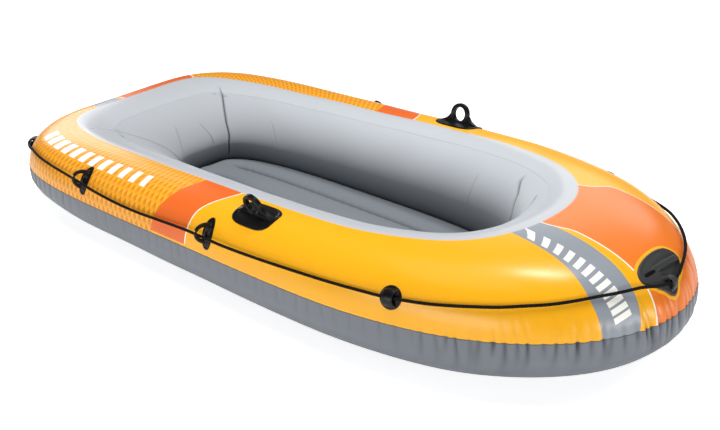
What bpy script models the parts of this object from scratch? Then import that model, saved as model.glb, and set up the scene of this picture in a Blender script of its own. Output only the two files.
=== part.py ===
"""Inflatable fishing boat: air chambers, oarlocks, a grab line in its guides, and valves.

Metres. +X is the bow, +Z is up, and the photograph shows the -Y side, called near here.
A place on the hull is (along, turn, lift): along is the share of half the outline, 0 at
the bow and 1 at the stern, below zero on the near side; turn is the angle round the tube,
0 outside, 90 on its crest, 180 inside and 270 below; lift is the height off the skin.
"""
import math

import bmesh
import bpy
import numpy as np
from mathutils import Matrix, Vector
from mathutils.bvhtree import BVHTree

# Driving sizes of the hull
HALF_LENGTH = 1.18
HALF_BEAM = 0.53
CREST_HEIGHT = 0.304
GAP = 0.0003

# Plan curves of the outside, the crest and the inside: reach, half width and roundness
CREST_BOW_SHARE = 0.6525
CREST_STERN_SHARE = 0.894
CREST_WIDTH_SHARE = 0.6717
CREST_FLARE_SHARE = 0.067
INSIDE_BOW_SHARE = 0.5085
INSIDE_STERN_SHARE = 0.5932
INSIDE_WIDTH_SHARE = 0.3774
INSIDE_FLARE_SHARE = 0.118
OUTSIDE_ROUND = {"bow": (3.15, 1.9), "stern": (6.5, 4.7)}
CREST_ROUND = {"bow": (3.25, 2.4), "stern": (6.3, 6.3)}
INSIDE_ROUND = {"bow": (3.0, 3.1), "stern": (3.4, 3.9)}

# Tube section: heights of its widest points as shares of the crest, and its roundness
OUTSIDE_HEIGHT_SHARE = 0.4276
INSIDE_HEIGHT_SHARE = 0.5263
KEEL_SHARE = 0.59
BOW_RISE_SHARE = 0.13
ROUND_OUT_TOP = 2.75
ROUND_OUT_BELOW = 1.95
ROUND_IN_TOP = 1.7
ROUND_IN_BELOW = 2.2
WELD_TURN = 115
SEAM_TURN = 7.1
SEAM_FACET_TURN = 1.9

# Mesh counts
QUARTER_STATIONS = 26
BELOW_STEPS = 7
SIDE_STEPS = 7
TOP_STEPS = 2
INNER_STEPS = 12
WALL_STEPS = 4
CURVE_SAMPLES = 1200
CORNER_WEIGHT_SHARE = 0.3
FRAME_STEP_SHARE = 0.002

# Bottom sheet and seam
SHEET_THICKNESS = 0.0012
SHEET_REACH_SHARE = 0.45
SEAM_HALF_WIDTH = 0.0043
SEAM_THICKNESS = 0.0016

# Floor chamber
FLOOR_HEIGHT = 0.08
FLOOR_WAIST_HEIGHT = 0.042
FLOOR_EDGE_RADIUS = 0.03
FLOOR_CHANNEL_SHARES = (-0.53, 0.0, 0.53)
FLOOR_CHANNEL_DEPTH = 0.02
FLOOR_CHANNEL_HALF_WIDTH = 0.045
FLOOR_CHANNEL_END_GAP = 0.07
FLOOR_CHANNEL_FADE = 0.06
FLOOR_ROWS = 34
FLOOR_COLUMNS = 30
FLOOR_ROW_EASE_SHARE = 0.7
FLOOR_COLUMN_POWER = 0.9
FLOOR_CHANNEL_ROUND_SHARE = 0.96
FLOOR_FOOT_ROUND_SHARE = 0.75
FLOOR_MARGIN = 0.001
FLOOR_END_SHARE = 0.992

# Pads glued to the skin
PAD_THICKNESS = 0.0025
PAD_SINK = 0.004
PAD_EDGE_SHARE = 0.45
PAD_RING_SHARES = (1.0, 0.94, 0.62, 0.3)
SKIN_PROBE = 0.1

# Rope guides
TALL_GUIDE_HALF_LENGTH = 0.021
TALL_GUIDE_HALF_HEIGHT = 0.049
TALL_LOOP_HALF_ROOT = 0.025
TALL_LOOP_HEIGHT = 0.047
TALL_LOOP_RADIUS = 0.0052
TALL_LOOP_TIP_TURN = 74
LOW_GUIDE_RADIUS = 0.032
LOW_LOOP_HALF_ROOT = 0.019
LOW_LOOP_HEIGHT = 0.024
LOW_LOOP_HALF_THICKNESS = 0.004
LOW_LOOP_HALF_WIDTH = 0.016
LOOP_FULLNESS_SHARE = 0.8
LOOP_STEPS = 10
TALL_GUIDES = {"rope_guide_2": (-0.4834, 30), "rope_guide_3": (-0.6933, 33)}
LOW_GUIDES = {
    "rope_guide_1": (-0.2533, 29),
    "rope_guide_4": (-0.868, 20),
    "rope_guide_5": (0.2533, 27),
    "rope_guide_6": (0.4834, 24),
    "rope_guide_7": (0.6933, 24),
    "rope_guide_8": (0.8252, 26),
}

# Oarlocks
OARLOCK_PLACE = (0.4335, 71.5)
OARLOCK_HALF_LENGTH = 0.079
OARLOCK_HALF_WIDTH = 0.049
OARLOCK_CORNER_POWER = 3.6
OARLOCK_EYE_RADIUS = 0.021
OARLOCK_EYE_HEIGHT = 0.032
OARLOCK_HEAD_RADIUS = 0.035
OARLOCK_FOOT_HALF = 0.072
OARLOCK_FOOT_HEIGHT = 0.006
OARLOCK_NECK_HALF = 0.044
OARLOCK_NECK_HEIGHT = 0.019
OARLOCK_HALF_THICKNESS = 0.008
OARLOCK_HEAD_WRAP = 15
OARLOCK_HEAD_POINTS = 13

# Bow patch: outline across and up the skin, its rib, its slot and the rope's eye
BOW_PATCH_PLACE = (0.0075, 37.5)
BOW_PATCH_OUTLINE = (
    (-0.073, 0.034),
    (0.0, 0.052),
    (0.076, 0.034),
    (0.087, -0.010),
    (0.045, -0.030),
    (0.000, -0.050),
    (-0.017, -0.070),
    (-0.040, -0.046),
    (-0.082, -0.014),
)
BOW_RIB = ((-0.036, 0.016), (0.068, 0.004))
BOW_RIB_RADIUS = 0.006
BOW_RIB_HEIGHT = 0.013
BOW_EYE_ACROSS = -0.015
BOW_EYE_UP = -0.034
BOW_EYE_HALF_ROOT = 0.016
BOW_EYE_HEIGHT = 0.025
BOW_EYE_HALF_THICKNESS = 0.004
BOW_EYE_HALF_WIDTH = 0.009

# Grab line: its route from the bow to the stern on each side, as (along, turn, lift)
ROPE_RADIUS = 0.0042
NEAR_ROUTE = (
    (0.000, 29.0, 0.0125),
    (-0.013, 30.5, 0.0125),
    (-0.030, 34.0, 0.012),
    (-0.050, 35.5, 0.009),
    (-0.070, 36.3, 0.008),
    (-0.091, 35.8, 0.008),
    (-0.112, 35.0, 0.008),
    (-0.133, 34.5, 0.008),
    (-0.154, 33.3, 0.008),
    (-0.175, 32.5, 0.008),
    (-0.197, 31.3, 0.008),
    (-0.220, 30.0, 0.0085),
    (-0.2533, 29.0, 0.0115),
    (-0.280, 29.0, 0.0105),
    (-0.312, 28.7, 0.0105),
    (-0.352, 28.1, 0.0115),
    (-0.402, 26.7, 0.014),
    (-0.450, 25.8, 0.019),
    (-0.4834, 26.4, 0.022),
    (-0.512, 26.3, 0.020),
    (-0.550, 24.6, 0.015),
    (-0.590, 22.9, 0.013),
    (-0.628, 23.5, 0.014),
    (-0.665, 26.3, 0.019),
    (-0.6933, 29.2, 0.022),
    (-0.720, 30.7, 0.019),
    (-0.750, 31.7, 0.014),
    (-0.780, 32.3, 0.0105),
    (-0.800, 32.7, 0.009),
    (-0.816, 32.5, 0.0078),
    (-0.830, 30.8, 0.0075),
    (-0.843, 27.5, 0.0078),
    (-0.855, 23.5, 0.009),
    (-0.868, 20.0, 0.0115),
    (-0.882, 19.5, 0.010),
    (-0.896, 20.5, 0.0085),
    (-0.910, 22.0, 0.0080),
    (-0.930, 23.3, 0.008),
    (-0.965, 24.3, 0.008),
    (-1.000, 24.8, 0.008),
)
FAR_ROUTE = (
    (0.015, 29.5, 0.0125),
    (0.032, 32.0, 0.011),
    (0.050, 33.0, 0.008),
    (0.070, 33.5, 0.0065),
    (0.091, 34.0, 0.006),
    (0.112, 34.3, 0.006),
    (0.133, 33.5, 0.006),
    (0.150, 31.5, 0.006),
    (0.166, 29.5, 0.006),
    (0.182, 28.0, 0.006),
    (0.200, 27.3, 0.0068),
    (0.225, 27.0, 0.009),
    (0.2533, 27.0, 0.0115),
    (0.280, 26.2, 0.0115),
    (0.330, 24.5, 0.010),
    (0.400, 23.4, 0.010),
    (0.450, 23.6, 0.011),
    (0.4834, 24.0, 0.0115),
    (0.515, 23.5, 0.011),
    (0.560, 22.6, 0.010),
    (0.620, 22.6, 0.010),
    (0.665, 23.6, 0.011),
    (0.6933, 24.0, 0.0115),
    (0.715, 24.1, 0.012),
    (0.735, 24.3, 0.0135),
    (0.795, 24.8, 0.0135),
    (0.8252, 26.0, 0.0115),
    (0.842, 26.2, 0.010),
    (0.855, 26.2, 0.009),
    (0.868, 26.0, 0.009),
    (0.881, 25.8, 0.009),
    (0.894, 25.6, 0.009),
    (0.908, 25.4, 0.009),
    (0.930, 25.2, 0.008),
    (0.965, 25.0, 0.008),
)

# Knot that joins the ends of the line, on the far side
KNOT_ALONG_SHARE = 0.765
KNOT_TURN = 24.5
KNOT_LIFT = 0.0175
KNOT_HALF_LENGTH = 0.016
KNOT_RADIUS = 0.01
KNOT_WAIST_SHARE = 0.78
KNOT_SHOULDER_SHARE = 0.92
KNOT_END_SHARE = 0.5

# Screw valves: flange, barrel, core, flap and cap
VALVE_SIDES = 24
OUTER_VALVE_PLACE = (0.59, 35)
INNER_VALVE_PLACE = (-0.60, 184)
VALVE_FLANGE_RADIUS = 0.028
VALVE_FLANGE_THICKNESS = 0.003
VALVE_BARREL_RADIUS = 0.018
VALVE_BORE_RADIUS = 0.015
VALVE_NECK_HEIGHT = 0.007
VALVE_BARREL_DEPTH = 0.022
VALVE_POCKET_DEPTH = 0.026
CORE_HOLE_RADIUS = 0.008
CORE_DEPTH = 0.016
CORE_TOP = 0.009
CORE_GRIP_RADIUS = 0.0165
FLAP_RADIUS = 0.012
FLAP_THICKNESS = 0.0012
CAP_RADIUS = 0.019
CAP_THICKNESS = 0.004
CAP_PLUG_RADIUS = 0.0065
CAP_PLUG_DEPTH = 0.005
STRAP_START_SHARE = 0.8
STRAP_END_SHARE = 0.6
STRAP_THICKNESS_SHARE = 0.5
HINGE_REACH = 0.0245
HINGE_PIN_RADIUS = 0.0012
HINGE_EYE_RADIUS = 0.0028
HINGE_EYE_HALF_WIDTH = 0.004
HINGE_EAR_WIDTH = 0.002
HINGE_EAR_HALF_DEPTH = 0.003

# Floor valve
FLOOR_VALVE_LENGTH_SHARE = -0.085
FLOOR_VALVE_BEAM_SHARE = -0.298
FLOOR_VALVE_SCALE = 0.8
FLOOR_PLUG_SHARE = 0.8

SHARP_ANGLE = math.radians(40)
COLOURS = {
    "outer_chamber": (0.96, 0.48, 0.03),
    "inner_chamber": (0.42, 0.44, 0.48),
    "floor_chamber": (0.34, 0.36, 0.40),
    "hull_bottom": (0.18, 0.20, 0.23),
    "seam_flange": (0.20, 0.21, 0.24),
}
BLACK = (0.02, 0.02, 0.022)


def clear_scene():
    for item in list(bpy.data.objects):
        bpy.data.objects.remove(item, do_unlink=True)


# Hull surface
def signed_power(value, exponent):
    return np.sign(value) * np.abs(value) ** exponent


def plan_curve(swing, reach_bow, reach_stern, half_width, flare_share, rounds):
    """Points in plan for swing angles from the bow (0) to the stern (pi) on the far side."""
    bow = np.cos(swing) >= 0
    power_x = np.where(bow, rounds["bow"][0], rounds["stern"][0])
    power_y = np.where(bow, rounds["bow"][1], rounds["stern"][1])
    reach = np.where(bow, reach_bow, reach_stern)
    x = reach * signed_power(np.cos(swing), 2 / power_x)
    y = half_width * np.abs(np.sin(swing)) ** (2 / power_y)
    return np.stack([x, y * (1 + flare_share * x / HALF_LENGTH)], axis=-1)


def outside_curve(swing):
    return plan_curve(swing, HALF_LENGTH, HALF_LENGTH, HALF_BEAM, 0.0, OUTSIDE_ROUND)


def crest_curve(swing):
    return plan_curve(
        swing,
        HALF_LENGTH * CREST_BOW_SHARE,
        HALF_LENGTH * CREST_STERN_SHARE,
        HALF_BEAM * CREST_WIDTH_SHARE,
        CREST_FLARE_SHARE,
        CREST_ROUND,
    )


def inside_curve(swing):
    return plan_curve(
        swing,
        HALF_LENGTH * INSIDE_BOW_SHARE,
        HALF_LENGTH * INSIDE_STERN_SHARE,
        HALF_BEAM * INSIDE_WIDTH_SHARE,
        INSIDE_FLARE_SHARE,
        INSIDE_ROUND,
    )


def run_lengths(points):
    steps = np.linalg.norm(np.diff(points, axis=0), axis=1)
    return np.concatenate([[0.0], np.cumsum(steps)])


class Hull:
    """The three plan curves, matched by their share of length in each quarter."""

    def __init__(self):
        self.quarters = []
        for start in (0.0, math.pi / 2):
            swing = np.linspace(start, start + math.pi / 2, CURVE_SAMPLES)
            curves = [curve(swing) for curve in (outside_curve, crest_curve, inside_curve)]
            self.quarters.append([(run_lengths(curve), curve) for curve in curves])
        self.quarter_lengths = [quarter[0][0][-1] for quarter in self.quarters]
        self.half_length = sum(self.quarter_lengths)

    def plan(self, along):
        """Outside, crest and inside points for a share of half the outline."""
        length = min(abs(along), 1.0) * self.half_length
        index = int(length > self.quarter_lengths[0])
        share = (length - index * self.quarter_lengths[0]) / self.quarter_lengths[index]
        side = -1.0 if along < 0 else 1.0
        points = []
        for lengths, curve in self.quarters[index]:
            at = share * lengths[-1]
            x = np.interp(at, lengths, curve[:, 0])
            y = np.interp(at, lengths, curve[:, 1])
            points.append(np.array([x, side * y]))
        return points

    def point(self, along, turn):
        outside, crest, inside = self.plan(along)
        angle = math.radians(turn)
        outer = math.cos(angle) >= 0
        top = math.sin(angle) >= 0
        if top:
            power = ROUND_OUT_TOP if outer else ROUND_IN_TOP
            middle = crest
        else:
            power = ROUND_OUT_BELOW if outer else ROUND_IN_BELOW
            middle = outside + (inside - outside) * KEEL_SHARE
        across = abs(math.cos(angle)) ** (2 / power)
        up = abs(math.sin(angle)) ** (2 / power)
        end = outside if outer else inside
        waist_share = OUTSIDE_HEIGHT_SHARE if outer else INSIDE_HEIGHT_SHARE
        waist = CREST_HEIGHT * waist_share
        height = waist + (CREST_HEIGHT - waist) * up if top else waist * (1 - up)
        height *= 1 + BOW_RISE_SHARE * outside[0] / HALF_LENGTH
        height = max(height, SHEET_THICKNESS + GAP)
        plan = middle + (end - middle) * across
        return Vector((plan[0], plan[1], height))

    def stations(self):
        """Shares along half the outline, closer together where it turns."""
        shares = []
        start = 0.0
        for (lengths, curve), _crest, _inside in self.quarters:
            steps = np.diff(curve, axis=0)
            heading = np.unwrap(np.arctan2(steps[:, 1], steps[:, 0]))
            bend = np.concatenate([[0.0], np.cumsum(np.abs(np.diff(heading))), [0.0]])
            bend[-1] = bend[-2]
            weight = lengths + CORNER_WEIGHT_SHARE * HALF_LENGTH * bend
            marks = np.linspace(0, weight[-1], QUARTER_STATIONS + 1)[:-1]
            shares += list((start + np.interp(marks, weight, lengths)) / self.half_length)
            start += lengths[-1]
        return shares + [1.0]

    def loop(self):
        """Station shares right round: far side from the bow, then the near side back."""
        half = self.stations()
        return half + [-share for share in reversed(half[1:-1])]

    def frame(self, along, turn):
        """Origin on the skin, and the directions across, up and out of it."""
        step = FRAME_STEP_SHARE
        origin = self.point(along, turn)
        if step < abs(along) < 1 - step:
            tangent = self.point(along + step, turn) - self.point(along - step, turn)
        else:
            reach = step if abs(along) < step else abs(along) - step
            tangent = self.point(reach, turn) - self.point(-reach, turn)
        rise = self.point(along, turn + 1) - self.point(along, turn - 1)
        out = rise.cross(tangent).normalized()
        centre = (self.point(along, 0) + self.point(along, 180)) / 2
        if out.dot(origin - centre) < 0:
            out = -out
        across = tangent.normalized()
        if out.cross(across).dot(rise) < 0:
            across = -across
        return origin, across, out.cross(across), out

    def lifted(self, along, turn, lift):
        origin, _across, _up, out = self.frame(along, turn)
        return origin + out * lift


# Mesh helpers
def add_object(name, vertices, faces):
    mesh = bpy.data.meshes.new(name)
    mesh.from_pydata([tuple(vertex) for vertex in vertices], [], faces)
    edit = bmesh.new()
    edit.from_mesh(mesh)
    bmesh.ops.recalc_face_normals(edit, faces=edit.faces)
    edit.to_mesh(mesh)
    edit.free()
    item = bpy.data.objects.new(name, mesh)
    bpy.context.collection.objects.link(item)
    return item


def grid_faces(rows, columns, wrap_rows, wrap_columns):
    """Triangles of a grid, all cut along the same diagonal, so that neighbours match."""
    faces = []
    for row in range(rows if wrap_rows else rows - 1):
        for column in range(columns if wrap_columns else columns - 1):
            next_row = (row + 1) % rows
            next_column = (column + 1) % columns
            start = row * columns + column
            opposite = next_row * columns + next_column
            faces.append((start, row * columns + next_column, opposite))
            faces.append((start, opposite, next_row * columns + column))
    return faces


def ring_object(name, rings):
    """A closed band: every ring is a closed outline, and the last joins the first."""
    vertices = [point for ring in rings for point in ring]
    return add_object(name, vertices, grid_faces(len(rings), len(rings[0]), True, True))


def capped_object(name, rings):
    """A closed body through rings, with a flat face at each end."""
    count = len(rings[0])
    vertices = [point for ring in rings for point in ring]
    faces = grid_faces(len(rings), count, False, True)
    faces.append(tuple(range(count)))
    faces.append(tuple((len(rings) - 1) * count + index for index in range(count)))
    return add_object(name, vertices, faces)


def combine(target, tool, operation):
    change = target.modifiers.new("change", "BOOLEAN")
    change.object = tool
    change.operation = operation
    change.solver = "EXACT"
    graph = bpy.context.evaluated_depsgraph_get()
    result = bpy.data.meshes.new_from_object(target.evaluated_get(graph))
    target.modifiers.remove(change)
    target.data = result
    bpy.data.objects.remove(tool, do_unlink=True)


def finish(item, colour=BLACK):
    mesh = item.data
    mesh.materials.clear()
    material = bpy.data.materials.new(item.name + "_material")
    material.use_nodes = True
    shader = material.node_tree.nodes["Principled BSDF"]
    shader.inputs["Base Color"].default_value = (*colour, 1.0)
    shader.inputs["Roughness"].default_value = 0.45
    mesh.materials.append(material)
    mesh.polygons.foreach_set("use_smooth", [True] * len(mesh.polygons))
    mesh.set_sharp_from_angle(angle=SHARP_ANGLE)
    return item


def circle(radius, sides, height=0.0):
    angles = [2 * math.pi * index / sides for index in range(sides)]
    return [Vector((radius * math.cos(a), radius * math.sin(a), height)) for a in angles]


def lathe(name, profile, sides):
    """A ring body turned from a closed outline of (radius, height) points."""
    rings = []
    for index in range(sides):
        angle = 2 * math.pi * index / sides
        turned = [Vector((r * math.cos(angle), r * math.sin(angle), z)) for r, z in profile]
        rings.append(turned)
    return ring_object(name, rings)


def disc(name, radius, bottom, top, sides):
    return capped_object(name, [circle(radius, sides, bottom), circle(radius, sides, top)])


def box(name, low, high):
    corners = [(low[0], low[1]), (high[0], low[1]), (high[0], high[1]), (low[0], high[1])]
    rings = [[Vector((x, y, z)) for x, y in corners] for z in (low[2], high[2])]
    return capped_object(name, rings)


def rod(name, radius, half_length, x, z, sides):
    """A round bar along Y."""
    rings = []
    for y in (-half_length, half_length):
        ring = circle(radius, sides)
        rings.append([Vector((x + point.x, y, z + point.y)) for point in ring])
    return capped_object(name, rings)


def sweep(name, path, radius, half_width, sides, side_axis):
    """A bar along a path square to side_axis, half_width along it and radius across it."""
    rings = []
    for index, point in enumerate(path):
        before = path[max(index - 1, 0)]
        after = path[min(index + 1, len(path) - 1)]
        heading = (after - before).normalized()
        normal = side_axis.cross(heading).normalized()
        ring = circle(radius, sides)
        wide = half_width / radius
        rings.append([point + side_axis * (spot.x * wide) + normal * spot.y for spot in ring])
    return capped_object(name, rings)


def place(item, frame):
    origin, across, up, out = frame
    matrix = Matrix((across, up, out)).transposed().to_4x4()
    matrix.translation = origin
    item.data.transform(matrix)
    return item


# Air chambers
def section_turns():
    """Turns of the outer chamber's skin, from the keel over the crest to the weld."""
    seam_low = SEAM_TURN - SEAM_FACET_TURN
    seam_high = SEAM_TURN + SEAM_FACET_TURN
    below = list(np.linspace(-90, seam_low, BELOW_STEPS + 1))
    side = list(np.linspace(seam_high, 90, SIDE_STEPS + 1))
    top = list(np.linspace(90, WELD_TURN, TOP_STEPS + 1))[1:]
    return below + side + top


def wall_points(hull, along, side):
    """The wall between the chambers, from the weld down to the keel, half a gap to a side."""
    weld = hull.point(along, WELD_TURN)
    keel = hull.point(along, 270)
    outside, _crest, inside = hull.plan(along)
    inward = inside - outside
    shift = Vector((inward[0], inward[1], 0.0)).normalized() * (side * GAP / 2)
    return [weld.lerp(keel, step / WALL_STEPS) + shift for step in range(WALL_STEPS + 1)]


def build_outer_chamber(hull):
    rings = []
    for along in hull.loop():
        wall = wall_points(hull, along, -1)
        skin = [hull.point(along, turn) for turn in section_turns()[1:-1]]
        rings.append([wall[-1]] + skin + wall[:-1])
    return ring_object("outer_chamber", rings)


def build_inner_chamber(hull):
    rings = []
    turns = np.linspace(WELD_TURN, 270, INNER_STEPS + 1)[1:-1]
    for along in hull.loop():
        wall = wall_points(hull, along, 1)
        skin = [hull.point(along, turn) for turn in reversed(turns)]
        rings.append(wall + skin)
    return ring_object("inner_chamber", rings)


def build_bottom(hull):
    outline = []
    for along in hull.loop():
        outside, _crest, inside = hull.plan(along)
        outline.append(outside + (inside - outside) * SHEET_REACH_SHARE)
    rings = [[Vector((x, y, z)) for x, y in outline] for z in (0.0, SHEET_THICKNESS)]
    return capped_object("hull_bottom", rings)


def build_seam(hull):
    """The welded edge where the hull's upper and lower skins meet, all round outside."""
    rings = []
    for along in hull.loop():
        origin, _across, up, out = hull.frame(along, SEAM_TURN)
        ends = [origin - up * SEAM_HALF_WIDTH, origin + up * SEAM_HALF_WIDTH]
        inner = [end + out * GAP for end in ends]
        outer = [end + out * (GAP + SEAM_THICKNESS) for end in reversed(ends)]
        rings.append(inner + outer)
    return ring_object("seam_flange", rings)


# Floor chamber
def wall_outline(hull, height):
    """Plan points of the inner wall's lower half at a height, bow to stern, far side."""
    points = []
    for along in hull.stations():
        outside, _crest, inside = hull.plan(along)
        rise = 1 + BOW_RISE_SHARE * outside[0] / HALF_LENGTH
        waist = CREST_HEIGHT * INSIDE_HEIGHT_SHARE * rise
        up = 1 - height / waist
        across = (1 - up**ROUND_IN_BELOW) ** (1 / ROUND_IN_BELOW)
        keel = outside + (inside - outside) * KEEL_SHARE
        points.append(keel + (inside - keel) * across)
    return np.array(points)


def floor_rounding(height):
    """How far the floor's edge draws in at a height from its widest line."""
    reach = (height - FLOOR_WAIST_HEIGHT) / (FLOOR_HEIGHT - FLOOR_WAIST_HEIGHT)
    return FLOOR_EDGE_RADIUS * (1 - math.sqrt(max(1 - reach**2, 0.0)))


class FloorPlan:
    """Half width of the floor at any x, as wide as the inner wall leaves free."""

    def __init__(self, hull):
        heights = np.linspace(FLOOR_WAIST_HEIGHT, FLOOR_HEIGHT, 5)
        self.walls = [(wall_outline(hull, height), floor_rounding(height)) for height in heights]
        bow = min(wall[0, 0] + drawn for wall, drawn in self.walls) - FLOOR_MARGIN
        stern = max(wall[-1, 0] - drawn for wall, drawn in self.walls) + FLOOR_MARGIN
        self.bow = bow * FLOOR_END_SHARE
        self.stern = stern * FLOOR_END_SHARE

    def half_width(self, x):
        widths = []
        for wall, drawn in self.walls:
            order = np.argsort(wall[:, 0])
            widths.append(np.interp(x, wall[order, 0], wall[order, 1]) + drawn)
        return min(widths) - FLOOR_MARGIN

    def rows(self):
        """Places along the floor, closer together towards its ends."""
        middle = (self.bow + self.stern) / 2
        reach = (self.bow - self.stern) / 2
        steps = np.linspace(-1, 1, FLOOR_ROWS)
        eased = np.sin(steps * math.pi / 2) * FLOOR_ROW_EASE_SHARE + steps * (1 - FLOOR_ROW_EASE_SHARE)
        return middle + reach * eased

    def outline(self):
        xs = self.rows()
        near = [(x, -self.half_width(x)) for x in xs]
        far = [(x, self.half_width(x)) for x in reversed(xs)]
        return np.array(near + far)


def edge_distance(point, outline):
    ends = np.roll(outline, -1, axis=0)
    sides = ends - outline
    squares = np.maximum((sides**2).sum(axis=1), 1e-12)
    shares = np.clip(((point - outline) * sides).sum(axis=1) / squares, 0, 1)
    return np.linalg.norm(point - (outline + sides * shares[:, None]), axis=1).min()


def floor_top(plan, outline, x, y):
    """Height of the floor's upper skin, with its rounded edge and welded channels."""
    inset = min(edge_distance(np.array([x, y]), outline) / FLOOR_EDGE_RADIUS, 1.0)
    arch = math.sqrt(max(1 - (1 - inset) ** 2, 0.0))
    height = FLOOR_WAIST_HEIGHT + (FLOOR_HEIGHT - FLOOR_WAIST_HEIGHT) * arch
    end = min(plan.bow - x, x - plan.stern) - FLOOR_CHANNEL_END_GAP
    fade = min(max(end / FLOOR_CHANNEL_FADE, 0.0), 1.0)
    width = plan.half_width(x)
    for share in FLOOR_CHANNEL_SHARES:
        off = abs(y - share * width) / FLOOR_CHANNEL_HALF_WIDTH
        if off < 1:
            round_share = 1 - (1 - off) ** 2 * FLOOR_CHANNEL_ROUND_SHARE
            height -= FLOOR_CHANNEL_DEPTH * fade * (1 - math.sqrt(round_share))
    return height


def build_floor(hull):
    plan = FloorPlan(hull)
    outline = plan.outline()
    spread = np.linspace(-1, 1, FLOOR_COLUMNS + 1)
    spread = np.sign(spread) * np.abs(spread) ** FLOOR_COLUMN_POWER
    columns = len(spread)
    vertices = []
    for x in plan.rows():
        width = plan.half_width(x)
        for share in spread:
            y = share * width
            vertices.append(Vector((x, y, floor_top(plan, outline, x, y))))
    faces = grid_faces(FLOOR_ROWS, columns, False, False)
    border = [row * columns for row in range(FLOOR_ROWS)]
    border += [(FLOOR_ROWS - 1) * columns + column for column in range(1, columns)]
    border += [row * columns + columns - 1 for row in range(FLOOR_ROWS - 2, -1, -1)]
    border += list(range(columns - 2, 0, -1))
    foot = SHEET_THICKNESS + GAP
    centre = Vector(((plan.bow + plan.stern) / 2, 0.0, 0.0))
    loops = [border]
    for level in (0.5, 1.0):
        inset = FLOOR_EDGE_RADIUS * (1 - math.sqrt(1 - level**2 * FLOOR_FOOT_ROUND_SHARE))
        height = FLOOR_WAIST_HEIGHT + (foot - FLOOR_WAIST_HEIGHT) * level
        ring = []
        for index in border:
            edge = vertices[index]
            reach = Vector((plan.bow - centre.x, plan.half_width(centre.x)))
            x = centre.x + (edge.x - centre.x) * (1 - inset / reach.x)
            y = edge.y * (1 - inset / reach.y)
            ring.append(len(vertices))
            vertices.append(Vector((x, y, height)))
        loops.append(ring)
    count = len(border)
    for upper, lower in zip(loops, loops[1:]):
        for index in range(count):
            after = (index + 1) % count
            faces.append((upper[index], upper[after], lower[after], lower[index]))
    faces.append(tuple(loops[-1]))
    return add_object("floor_chamber", vertices, faces)


# Pads that follow the skin
class Skin:
    """The outer chamber's faces, to lay pads on and to cut their undersides."""

    def __init__(self, chamber):
        self.mesh = chamber.data.copy()
        edit = bmesh.new()
        edit.from_mesh(self.mesh)
        self.tree = BVHTree.FromBMesh(edit)
        for vertex in edit.verts:
            vertex.co += vertex.normal * GAP
        edit.to_mesh(self.mesh)
        edit.free()

    def spot(self, frame, across, up, lift):
        """The point above the skin at a place in a pad's own plane."""
        origin, side, rise, out = frame
        start = origin + side * across + rise * up + out * SKIN_PROBE
        found, normal, _index, _distance = self.tree.ray_cast(start, -out, 2 * SKIN_PROBE)
        blend = (normal + out).normalized()
        return found + blend * lift

    def trim(self, item):
        cutter = bpy.data.objects.new("skin_cutter", self.mesh)
        bpy.context.collection.objects.link(cutter)
        combine(item, cutter, "DIFFERENCE")


def pad(name, skin, frame, outline, crown):
    """A pad on the skin: thin at its edge, crown higher in the middle."""
    rings = []
    for share in PAD_RING_SHARES:
        lift = PAD_THICKNESS if share < 1 else PAD_THICKNESS * PAD_EDGE_SHARE
        lift += crown * (1 - share**2)
        rings.append([skin.spot(frame, u * share, v * share, lift) for u, v in outline])
    under = [skin.spot(frame, u, v, -PAD_SINK) for u, v in outline]
    return capped_object(name, [under] + rings)


def oval(half_width, half_height, power, sides):
    points = []
    for index in range(sides):
        angle = 2 * math.pi * index / sides
        across = float(signed_power(math.cos(angle), 2 / power))
        up = float(signed_power(math.sin(angle), 2 / power))
        points.append((half_width * across, half_height * up))
    return points


def rounded(corners, steps):
    """A smooth closed outline through hand-placed corners."""
    points = []
    count = len(corners)
    for index in range(count):
        p0, p1, p2, p3 = (Vector(corners[(index + shift) % count]) for shift in (-1, 0, 1, 2))
        for step in range(steps):
            t = step / steps
            pull = (p2 - p0) * t + (2 * p0 - 5 * p1 + 4 * p2 - p3) * t**2
            pull += (3 * p1 - p0 - 3 * p2 + p3) * t**3
            points.append(tuple(p1 + pull / 2))
    return points


def loop_path(frame, half_root, height, start=0, end=180):
    """An arch that stands on the skin, square to the rope, between two of its turns."""
    base, _across, up, out = frame
    path = []
    for turn in np.linspace(start, end, LOOP_STEPS + 1):
        angle = math.radians(turn)
        side = -half_root * math.cos(angle)
        rise = height * math.sin(angle) ** LOOP_FULLNESS_SHARE
        path.append(base + up * side + out * (rise - PAD_SINK / 2))
    return path


def build_tall_guide(name, skin, frame, outline):
    """A long pad with two curled prongs; the line snaps in through the gap between them."""
    item = pad(name, skin, frame, outline, PAD_THICKNESS)
    radius = TALL_LOOP_RADIUS
    for start in (0, 180):
        tip = abs(start - TALL_LOOP_TIP_TURN)
        path = loop_path(frame, TALL_LOOP_HALF_ROOT, TALL_LOOP_HEIGHT, start, tip)
        combine(item, sweep("prong", path, radius, radius, 8, frame[1]), "UNION")
    skin.trim(item)
    return finish(item)


def build_low_guide(name, skin, frame, outline):
    """A round pad with a broad strap over the line."""
    item = pad(name, skin, frame, outline, PAD_THICKNESS)
    path = loop_path(frame, LOW_LOOP_HALF_ROOT, LOW_LOOP_HEIGHT)
    strap = sweep("strap", path, LOW_LOOP_HALF_THICKNESS, LOW_LOOP_HALF_WIDTH, 12, frame[1])
    combine(item, strap, "UNION")
    skin.trim(item)
    return finish(item)


def build_guides(hull, skin):
    tall = oval(TALL_GUIDE_HALF_LENGTH, TALL_GUIDE_HALF_HEIGHT, 2.2, 18)
    low = oval(LOW_GUIDE_RADIUS, LOW_GUIDE_RADIUS, 2, 18)
    for name, (along, turn) in TALL_GUIDES.items():
        build_tall_guide(name, skin, hull.frame(along, turn), tall)
    for name, (along, turn) in LOW_GUIDES.items():
        build_low_guide(name, skin, hull.frame(along, turn), low)


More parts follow.
